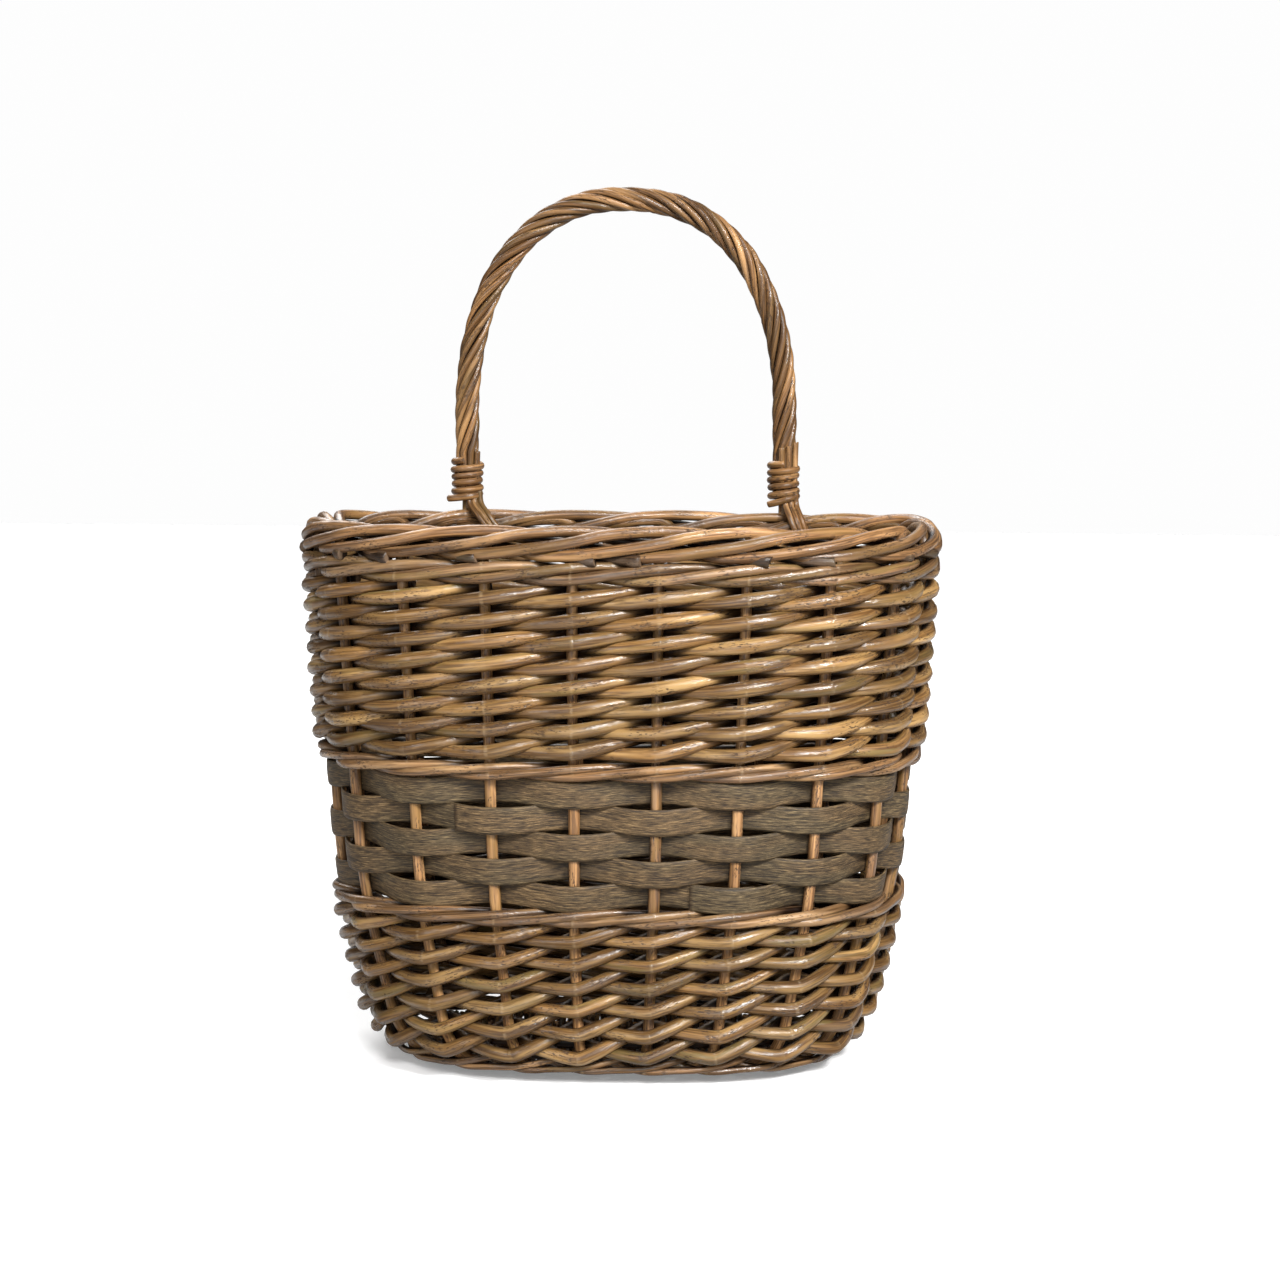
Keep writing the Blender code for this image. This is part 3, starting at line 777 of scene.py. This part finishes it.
def stakes():
    """Each stake runs up the wall from the base and on into the border as one rod."""
    for i in range(STAKES):
        name = f"stake_rod_{i + 1:02d}"
        random = random_for(name)
        v0 = i + 0.5
        h = np.linspace(0, h_at(STRAIGHT_STAKE_TOP_Z), 160)
        lean = 0.012 * smooth_noise(random, h, 0.09)
        sway = 0.0003 * smooth_noise(random, h, 0.06)
        body, body_out = wall(v0 + lean, h, sway)
        v, z, out = border_route(v0, random)
        top, top_out = wall(v, h_at(z), out)
        points = np.concatenate([body, top])
        outwards = np.concatenate([body_out, top_out])
        # Painted shade below BORDER_SHADE_Z: the border's lower turns lose full bareness and darken by
        # depth; in the wall and on top the stake is fully bare and painted lighter.
        above = np.clip((z - BORDER_SHADE_Z) / 0.004, 0, 1)
        open_way = np.concatenate([np.ones(len(body)), above])
        depth = np.concatenate([np.zeros(len(body)), out])
        in_border = np.concatenate([np.zeros(len(body)), np.clip((v - v0) / 0.3, 0, 1)])
        others = (outwards, depth, open_way, in_border)
        points, outwards, depth, open_way, in_border = evenly(points, 0.0020, *others)
        radius = STAKE_RADIUS + (BORDER_RADIUS * random.uniform(0.93, 1.06) - STAKE_RADIUS) * in_border
        shape = Shape()
        add_rod(shape, random, points, radius, outwards, depth=depth, open_way=open_way, knots=0.085)
        shape.piece(name, STAKE_WILLOW, [f"stake_{i + 1:02d}"])


def rand_lift(level, stake, section):
    """How much higher than its place in the spiral a rod lies where it is behind a stake.

    The lower wall's rods climb steeply, except at the flat back, where they lie closer.
    """
    if section == "lower":
        around = np.mod(stake, STAKES)
        in_front = np.interp(around, [0, 3, 5, 7, 13, 15, 17, 20], [1, 1, 0.5, 0.35, 0.35, 0.5, 1, 1])
        return in_front * np.interp(level, [0, 2, 4, 5.5], [0.50, 0.42, 0.36, 0.12])
    return np.interp(level, [0, 1, 2, 8], [0.42, 0.22, 0.06, 0.0])


def french_rand(section, low, high, rounds, nodes):
    """One rod beside each stake climbs the wall to the right, in front of one stake and behind the next."""
    pitch = (high - low) / rounds
    bow_v = handle_v()
    for i in range(STAKES):
        name = f"{section}_rand_rod_{i + 1:02d}"
        random = random_for(name)
        passed = np.arange(-1, 2 * rounds)
        behind = passed % 2 == 1
        level = passed / 2 + np.where(behind, rand_lift(passed / 2, i + passed, section), 0)
        level += random.uniform(-RAND_UNEVENNESS, RAND_UNEVENNESS, len(level))
        level[0] = max(level[0], LOWEST_RAND_LEVEL)
        side = np.where(behind, -1.0, 1.0)
        knots, sides = list(passed), list(side)
        if section == "upper":
            for place, facing in zip(passed, side):
                stake = (i + place) % STAKES
                for at, foot in ((HANDLE_STAKE_V, bow_v[0]), (STAKES - HANDLE_STAKE_V, bow_v[1])):
                    if stake + 0.5 == at:
                        knots.append(place + foot - at)
                        sides.append(facing)
        order = np.argsort(knots)
        knots, sides = np.array(knots, float)[order], np.array(sides)[order]
        u = np.linspace(-RAND_BUTT_V, 2 * rounds - 1 + RAND_TIP_V, 44 * (2 * rounds + 1))
        butt, tip = RAND_RADII[section] * random.uniform(0.94, 1.05, 2)
        beyond_stake = np.mod(u, 2)
        fuller = 0.09 * np.exp(-(((beyond_stake - 0.32) / 0.22) ** 2))
        radius = np.linspace(butt, tip, len(u)) * (1 + fuller)
        if section == "lower":
            radius *= np.interp(np.mod(i + 0.5 + u, STAKES), *BACK_FULLNESS)
        reach = STAKE_RADIUS + radius + ROD_CLEARANCE
        weave = kinked(u, knots, sides, 0.15) / 0.925
        out = (weave + STAYS_OUT[section] * (1 - np.minimum(np.abs(weave), 1) ** 2)) * reach
        h = low + (kinked(u, passed, level, 0.14) + 0.5) * pitch
        h += 0.0003 * smooth_noise(random, u, 0.7)
        flatten = 0.20 * (1 - np.minimum(np.abs(weave), 1)) - 0.02
        shape = Shape()
        wall_rod(shape, random, i + 0.5 + u, h, out, radius, flatten=flatten, knots=0.075)
        shape.piece(name, RAND_WILLOW, nodes)


def wale(name, low, high, radius, first_stake, node, spread=0.92):
    """Three rods twined round the wall: each passes in front of two stakes and behind the third."""
    middle = (low + high) / 2
    lift = WALE_LIFTS * radius * spread
    reach = STAKE_RADIUS + radius + ROD_CLEARANCE
    for k in range(3):
        piece_name = f"{name}_rod_{k + 1}"
        random = random_for(piece_name)
        last = STAKES if k < 2 else STAKES - 3
        steps = np.arange(0, 2 * last + 1)
        knots = np.concatenate([[-0.6], steps / 2, [last + 0.35]])
        turn = [-1, *steps, steps[-1]]
        lifts = [lift[i % 6] for i in turn]
        outs = [WALE_OUTS[i % 6] for i in turn]
        u = np.linspace(knots[0], knots[-1], 36 * (last + 1))
        h = middle + flowing(u, knots, lifts) + 0.0003 * smooth_noise(random, u, 1.3)
        out = flowing(u, knots, outs) * reach
        shape = Shape()
        width = radius * random.uniform(0.97, 1.04) * np.interp(u, [knots[0], knots[0] + 0.5], [0.6, 1.0])
        width *= np.interp(u, [last - 1.0, last + 0.35], [1.0, 0.62])
        wall_rod(shape, random, first_stake + 0.5 + k + u, h, out, width, knots=0.09)
        shape.piece(piece_name, WALE_WILLOW, [node])


def chip_strip(index, low, high, first_side, lap_v):
    """One flat strip that weaves round the stakes and laps over its own beginning."""
    name = f"chip_strip_band_{index + 1}"
    random = random_for(name)
    v = np.arange(lap_v, lap_v + STAKES + CHIP_LAP_V, 0.05)
    u = v - lap_v
    weave = first_side * np.sin(math.pi * v)
    over = np.interp(u, [0, CHIP_LAP_V, CHIP_LAP_V + 0.5], [1, 1, 0]) * (CHIP_THICKNESS + 0.00025)
    out = weave * CHIP_REACH + over
    width = high - low + CHIP_WIDTH_SPARE + 0.0003 * smooth_noise(random, u, 1.1)
    middle = (low + high) / 2 - CHIP_SWAY * weave + 0.0003 * smooth_noise(random, u, 1.7)
    rows = CHIP_ROWS
    across = np.linspace(-0.5, 0.5, rows)
    ridges = np.stack([smooth_noise(random, u, 0.35) for _ in range(rows)], axis=1) * CHIP_RIDGE
    cup = CHIP_CUP * (1 - (2 * across) ** 2)
    h = middle[:, None] + width[:, None] * across
    thick = np.full(rows, CHIP_THICKNESS / 2)
    thick[[0, -1]] *= 0.55
    faces_out = []
    for sign in (1, -1):
        level = out[:, None] + sign * thick + cup * np.abs(weave[:, None]) + ridges * (sign > 0)
        faces_out.append(wall(np.broadcast_to(v[:, None], h.shape), h, level)[0])
    outer, inner = faces_out
    section = np.concatenate([outer, inner[:, ::-1]], axis=1)
    count, around = section.shape[:2]
    faces = []
    for i in range(count - 1):
        for k in range(around):
            j = (k + 1) % around
            faces.append((i * around + k, (i + 1) * around + k, (i + 1) * around + j, i * around + j))
    faces.append(tuple(range(around)))
    faces.append(tuple((count - 1) * around + k for k in range(around))[::-1])
    s = distance_along(section[:, rows // 2])
    height = np.concatenate([across, across[::-1]]) * (high - low)
    depth = np.concatenate([np.zeros(rows), np.full(rows, 0.004)])
    place = np.stack(np.broadcast_arrays(s[:, None], height, depth), axis=-1) + random.uniform(0, 5, 3)
    cut = np.interp(np.minimum(s, s[-1] - s), [0, 0.0012], [1, 0])
    marks = np.stack(np.broadcast_arrays(1.0, 0.0, cut[:, None] * np.ones(around)), axis=-1)
    shape = Shape()
    facing = np.repeat([1.0, -1.0], rows)
    # Bareness for the chip material's painted shade where the strip passes behind a stake.
    bareness = (1 + out[:, None] / CHIP_REACH * facing).ravel()
    tint = random.uniform(0, 1, 3)
    shape.add(section.reshape(-1, 3), faces, place.reshape(-1, 3), tint, marks.reshape(-1, 3), bareness)
    shape.piece(name, CHIP_WOOD, [f"chip_strip_{index + 1}"])


def border_tips():
    """The trimmed ends of the border's rods, which poke out just below it, one near each stake."""
    for i in range(STAKES):
        name = f"border_tip_{i + 1:02d}"
        random = random_for(name)
        end = i + 0.5 + random.uniform(-0.30, 0.30)
        knots = end + np.array([-0.9, -0.6, -0.34, -0.14, 0.0])
        z = np.array([0.3075, 0.3048, 0.3030, 0.3024, 0.3022]) + random.uniform(-0.0008, 0.0010)
        out = np.array([-0.0075, -0.0050, 0.0000, 0.0050, 0.0074])
        v = np.linspace(knots[0], knots[-1], 60)
        shape = Shape()
        knob = random.uniform(-0.15, 0.35) * np.exp(-(((v - end + 0.06) / 0.05) ** 2))
        radius = TIP_RADIUS * random.uniform(0.80, 1.20) * (1 + knob)
        slants = (0.1, random.uniform(-0.9, 0.9))
        h, out = h_at(flowing(v, knots, z)), flowing(v, knots, out)
        wall_rod(shape, random, v, h, out, radius, knots=0.012, slants=slants)
        nodes = [("border_inner_rod", "border_outer_rod", "border_cap_rod")[i]] if i < 3 else []
        shape.piece(name, TIP_WILLOW, nodes)


# ---- Base -------------------------------------------------------------------------------------------


def base():
    """A flat base: three sticks, with thin rods woven across them inside the stakes' curve."""
    shift = PROFILE[0, 1]
    outline_v = np.linspace(0, STAKES, 400)
    x, y = plan_point(outline_v)
    outline = np.stack([BASE_HALF_WIDTH * x, shift + BASE_HALF_WIDTH * y], axis=1)
    stick_y = [shift + STICKS_HALF_WIDTH * float(plan_point(v)[1]) for v in (4, 5, 6)]
    for k, at in enumerate(stick_y):
        name = f"base_stick_rod_{k + 1}"
        random = random_for(name)
        reach = float(np.interp(at, outline[:100, 1], outline[:100, 0])) - BASE_EDGE
        line = np.linspace(-reach, reach, 90)
        points = np.stack([line, np.full(90, at), np.full(90, STAKE_FOOT_Z)], axis=1)
        shape = Shape()
        add_rod(shape, random, points, STICK_RADIUS, np.tile([0.0, 0, 1], (90, 1)), knots=0.08)
        shape.piece(name, STAKE_WILLOW, [f"base_stick_{k + 1}"])
    shape = Shape()
    random = random_for("base_weave_rods")
    lowest, highest = outline[:, 1].min(), outline[:, 1].max()
    right = outline[outline[:, 0] > 0]
    half_count = int(BASE_WEAVE_REACH / BASE_WEAVER_SPACING)
    for k in range(-half_count, half_count + 1):
        at = k * BASE_WEAVER_SPACING
        near = right[np.abs(right[:, 0] - abs(at)) < 0.004]
        if abs(at) < 0.09:
            front, back = (np.interp(abs(at), *sorted_side(right, sign)) for sign in (-1, 1))
        else:
            front, back = near[:, 1].min(), near[:, 1].max()
        front, back = max(front, lowest) + BASE_EDGE, min(back, highest) - BASE_EDGE
        ends = [front, *stick_y, back]
        up = (-1) ** k
        lift = [0.0, up, -up, up, 0.0]
        line = np.linspace(front, back, 60)
        height = STAKE_FOOT_Z + BASE_WEAVE_LIFT * kinked(line, ends, lift, 0.010)
        points = np.stack([np.full(60, at), line, height], axis=1)
        side = np.tile([0.0, 0, 1], (60, 1))
        # Painted shade: the base rods are set lower in bareness so they are painted darker, with less coat.
        sunk = np.full(60, BASE_OPEN_WAY)
        add_rod(shape, random, points, BASE_WEAVER_RADIUS, side, open_way=sunk, sides=8, knots=0)
    shape.piece("base_weave_rods", RAND_WILLOW, ["base_weave"])


def sorted_side(points, sign):
    """x and y of the outline's front (-1) or back (1) half, with x rising, for interpolation."""
    middle = points[np.argmax(points[:, 0]), 1]
    kept = points[(points[:, 1] - middle) * sign >= 0]
    kept = kept[np.argsort(kept[:, 0])]
    return kept[:, 0], kept[:, 1]


# ---- Handle -----------------------------------------------------------------------------------------


def bow_line():
    """The bow's middle line above the rim, from the left foot to the right one."""
    foot = wall(handle_v()[0], h_at(RIM_TOP_Z), 0.0)[0]
    half, y = foot[0], foot[1]
    spring = RIM_TOP_Z + LEG_HEIGHT
    turn = np.linspace(0, math.pi, 300)
    arch_x = -half * np.sign(np.cos(turn)) * np.abs(np.cos(turn)) ** (2 / ARCH_SQUARENESS)
    arch_z = spring + ARCH_HEIGHT * np.clip(np.sin(turn), 0, 1) ** (2 / ARCH_SQUARENESS)
    leg_z = np.linspace(RIM_TOP_Z, spring, 60)
    x = np.concatenate([[-half] * 60, arch_x, [half] * 60])
    z = np.concatenate([leg_z, arch_z, leg_z[::-1]])
    keep = np.concatenate([[True], np.hypot(np.diff(x), np.diff(z)) > 1e-7])
    points = np.stack([x, np.full(len(x), y), z], axis=1)[keep]
    return evenly(points, 0.0015)[0]


def bow():
    line = bow_line()
    right_v, left_v = handle_v()
    h = np.linspace(h_at(BOW_FOOT_Z), h_at(RIM_TOP_Z) - 0.002, 80)
    left = wall(left_v, h, 0.0)[0]
    right = wall(right_v, h[::-1], 0.0)[0]
    points = evenly(np.concatenate([left, line, right]), 0.0025)[0]
    name = "handle_bow_rod"
    shape = Shape()
    add_rod(shape, random_for(name), points, BOW_RADIUS, carried_side(points, (0, -1, 0)), knots=0.1)
    shape.piece(name, HANDLE_WILLOW, ["handle_bow"])


def rope():
    """Thin rods laid round the bow as a rope, their ends held by the bindings at both feet."""
    line = bow_line()
    line = line[line[:, 2] >= BINDING_BOTTOM_Z + 0.001]
    s = distance_along(line)
    tangents = tangents_of(line)
    depth_way = np.tile([0.0, 1.0, 0.0], (len(line), 1))
    side_way = np.cross(depth_way, tangents)
    straight = ROPE_START_Z - line[0, 2]
    roped = np.clip(s, straight, s[-1] - straight) - straight
    foot = np.minimum(s, s[-1] - s)
    narrow = np.interp(foot, [0, straight, straight + 0.02], [0.0, 0.25, 1.0])
    ring = ROPE_FOOT_RADIUS + (ROPE_RADIUS - ROPE_FOOT_RADIUS) * narrow
    for k in range(ROPE_STRANDS):
        name = f"handle_strand_{k + 1}"
        random = random_for(name)
        slip = 0.10 * smooth_noise(random, s, 0.05)
        angle = 2 * math.pi * k / ROPE_STRANDS - 2 * math.pi * roped / ROPE_LAY + slip
        reach = ring * (1 + 0.035 * smooth_noise(random, s, 0.04))
        out = depth_way * np.cos(angle)[:, None] + side_way * np.sin(angle)[:, None]
        points = line + out * reach[:, None]
        radius = STRAND_RADIUS * random.uniform(0.93, 1.08) * np.interp(foot, [0, straight], [0.86, 1.0])
        points, out, radius = evenly(points, 0.0017, out, radius)
        shape = Shape()
        # Painted shade: the strands are set lower in bareness so they are painted darker, most where they
        # face the bow.
        sunk = {"depth": np.full(len(points), ROPE_RADIUS), "open_way": np.full(len(points), ROPE_OPEN_WAY)}
        add_rod(shape, random, points, radius, out, sides=10, knots=0.07, **sunk)
        nodes = ["handle_wrap_1"] if k == 0 else ["handle_wrap_2"] if k == 1 else []
        shape.piece(name, HANDLE_WILLOW, nodes)


def binding(side, foot):
    """A thin rod wound tightly round the foot of the handle, with both cut ends showing."""
    name = f"{side}_handle_binding_rod"
    random = random_for(name)
    turn = np.linspace(0, BINDING_TURNS, 400)
    angle = 2 * math.pi * turn - BINDING_START[side]
    pitch = (BINDING_TOP_Z - BINDING_BOTTOM_Z) / (BINDING_TURNS - 0.4)
    reach = BINDING_REACH + 0.0005 * smooth_noise(random, turn, 0.4)
    reach += np.interp(turn, [0, 0.12], [0.0035, 0])
    rise = pitch * turn + 0.0006 * smooth_noise(random, turn, 0.6)
    tilt = BINDING_LEAN[side] * np.interp(turn, [0, 1.2], [1.0, 0.15]) * np.cos(angle)
    x = foot[0] + reach * np.cos(angle)
    y = foot[1] + reach * np.sin(angle)
    points = np.stack([x, y, BINDING_BOTTOM_Z + rise + tilt], axis=1)
    outwards = np.stack([np.cos(angle), np.sin(angle), 0 * angle], axis=1)
    points, outwards = evenly(points, 0.0014, outwards)
    shape = Shape()
    radius = BINDING_RADIUS * (1 + 0.06 * smooth_noise(random, np.linspace(0, 1, len(points)), 0.1))
    add_rod(shape, random, points, radius, outwards, sides=10, knots=0.05)
    shape.piece(name, HANDLE_WILLOW, [f"{side}_handle_binding"])


def tails(side, foot):
    """Three of the rope's ends, from under the binding across the inside of the rim."""
    for k in range(3):
        name = f"{side}_handle_tail_rod_{k + 1}"
        random = random_for(name)
        x = foot[0] + TAIL_START[side] + TAIL_SPACING * k
        front = foot[1] - 0.0062 + 0.0009 * k
        start = [x, front, BINDING_BOTTOM_Z + 0.004]
        down = [x + 0.0006, front - 0.0004, BINDING_BOTTOM_Z - 0.002]
        inside = foot[1] + TAIL_INSIDE
        slant = TAIL_SLANT[side]
        over = [x + 0.42 * slant, inside, 0.3165]
        under = [x + 0.86 * slant, inside - 0.0004, 0.3060]
        last = [x + slant + 0.0006 * k, inside + 0.0035, 0.2995]
        knots = np.array([start, down, over, under, last])
        at = distance_along(knots)
        fine = np.linspace(0, at[-1], 60)
        points = np.stack([flowing(fine, at, knots[:, c]) for c in range(3)], axis=1)
        shape = Shape()
        add_rod(shape, random, points, TAIL_RADIUS, carried_side(points, (0, -1, 0)), sides=10, knots=0.04)
        nodes = [f"{side}_handle_tail_{k + 1}"] if k < 2 else []
        shape.piece(name, HANDLE_WILLOW, nodes)


def cut_tips(side, foot):
    """Short cut ends that stand up out of the binding."""
    for k, (angle, top) in enumerate(CUT_TIPS[side]):
        name = f"{side}_handle_cut_tip_{k + 1}"
        random = random_for(name)
        x = foot[0] + CUT_TIP_REACH * math.sin(math.radians(angle))
        y = foot[1] - CUT_TIP_REACH * math.cos(math.radians(angle))
        z = np.linspace(BINDING_BOTTOM_Z + 0.012, top, 24)
        flare = np.linspace(0, 0.0006, 24)
        points = np.stack([x + flare * math.sin(math.radians(angle)), np.full(24, y), z], axis=1)
        shape = Shape()
        add_rod(shape, random, points, TAIL_RADIUS, np.tile([0.0, -1, 0], (24, 1)), sides=10, knots=0)
        shape.piece(name, HANDLE_WILLOW)


def handle():
    bow()
    rope()
    line = bow_line()
    feet = (("left", line[0]), ("right", line[-1]))
    for make in (binding, tails, cut_tips):
        for side, foot in feet:
            make(side, foot)


# ---- Stage ------------------------------------------------------------------------------------------


def stage():
    """A pale floor, a white surround and soft light, most of it from the front."""
    mesh = bpy.data.meshes.new("floor")
    corners = [(x, y, 0) for x, y in ((-6, -6), (6, -6), (6, 6), (-6, 6))]
    mesh.from_pydata(corners, [], [(0, 1, 2, 3)])
    mesh.materials.append(floor_material())
    floor = bpy.data.objects.new("floor", mesh)
    bpy.context.scene.collection.objects.link(floor)
    world = bpy.data.worlds.new("studio")
    world.use_nodes = True
    background = world.node_tree.nodes["Background"]
    background.inputs["Color"].default_value = (1, 1, 1, 1)
    seen = world.node_tree.nodes.new("ShaderNodeLightPath")
    strength = world.node_tree.nodes.new("ShaderNodeMapRange")
    strength.inputs["To Min"].default_value = AMBIENT
    strength.inputs["To Max"].default_value = BACKDROP
    world.node_tree.links.new(seen.outputs["Is Camera Ray"], strength.inputs["Value"])
    world.node_tree.links.new(strength.outputs["Result"], background.inputs["Strength"])
    bpy.context.scene.world = world
    bpy.context.scene.view_settings.view_transform = "Standard"
    soft_sun("key_sun", *KEY_SUN)
    for name, settings in SOFTBOXES.items():
        softbox(name, *settings)
    soft_sun("back_sun", *BACK_SUN)


def place_light(name, light, place):
    """A light at a place, turned towards the basket."""
    made = bpy.data.objects.new(name, light)
    bpy.context.scene.collection.objects.link(made)
    made.location = place
    made.rotation_euler = (Vector(LIT_PLACE) - Vector(place)).to_track_quat("-Z", "Y").to_euler()


def soft_sun(name, strength, softness, place):
    light = bpy.data.lights.new(name, "SUN")
    light.energy = strength
    light.angle = math.radians(softness)
    place_light(name, light, place)


def softbox(name, place, size, power):
    light = bpy.data.lights.new(name, "AREA")
    light.shape = "SQUARE"
    light.size = size
    light.energy = power
    place_light(name, light, place)


def camera():
    """The photograph's view: a little above the rim, almost square on to the front."""
    yaw, pitch, roll = (math.radians(a) for a in CAMERA_TURN)
    forward = Vector((-math.sin(yaw) * math.cos(pitch), math.cos(yaw) * math.cos(pitch), -math.sin(pitch)))
    right = Vector((math.cos(yaw), math.sin(yaw), 0))
    up = right.cross(forward)
    right, up = (
        right * math.cos(roll) + up * math.sin(roll),
        up * math.cos(roll) - right * math.sin(roll),
    )
    data = bpy.data.cameras.new("camera")
    data.lens = CAMERA_LENS
    made = bpy.data.objects.new("camera", data)
    bpy.context.scene.collection.objects.link(made)
    turn = Matrix((right, up, -forward)).transposed()
    made.matrix_world = Matrix.Translation(Vector(CAMERA_PLACE)) @ turn.to_4x4()
    bpy.context.scene.camera = made


def main():
    stage()
    camera()
    stakes()
    french_rand(
        "lower", FOOT_WALE_START + FOOT_WALE_HEIGHT, h_at(LOWER_WALE_Z), LOWER_ROUNDS,
        nodes_named("lower_rand_round_"),
    )
    french_rand(
        "upper", h_at(UPPER_RAND_Z), h_at(TOP_WALE_Z), UPPER_ROUNDS, nodes_named("upper_rand_round_")
    )
    foot = FOOT_WALE_START
    wale("foot_wale", foot, foot + FOOT_WALE_HEIGHT, FOOT_WALE_RADIUS, 8, "foot_wale")
    wale("lower_wale", h_at(LOWER_WALE_Z), h_at(CHIPS_Z), WALE_RADIUS, 19, "lower_wale")
    wale("middle_wale", h_at(MIDDLE_WALE_Z), h_at(UPPER_RAND_Z), WALE_RADIUS, 10, "middle_wale")
    top = h_at(TOP_WALE_END_Z + 0.0002)
    wale("top_wale", h_at(TOP_WALE_Z), top, TOP_WALE_RADIUS, 2, "top_wale", spread=1.12)
    seams = np.linspace(h_at(CHIPS_Z), h_at(MIDDLE_WALE_Z), CHIP_STRIPS + 1)
    for i in range(CHIP_STRIPS):
        chip_strip(i, seams[i], seams[i + 1], -((-1) ** i), CHIP_LAP_STARTS[i])
    border_tips()
    base()
    handle()


main()
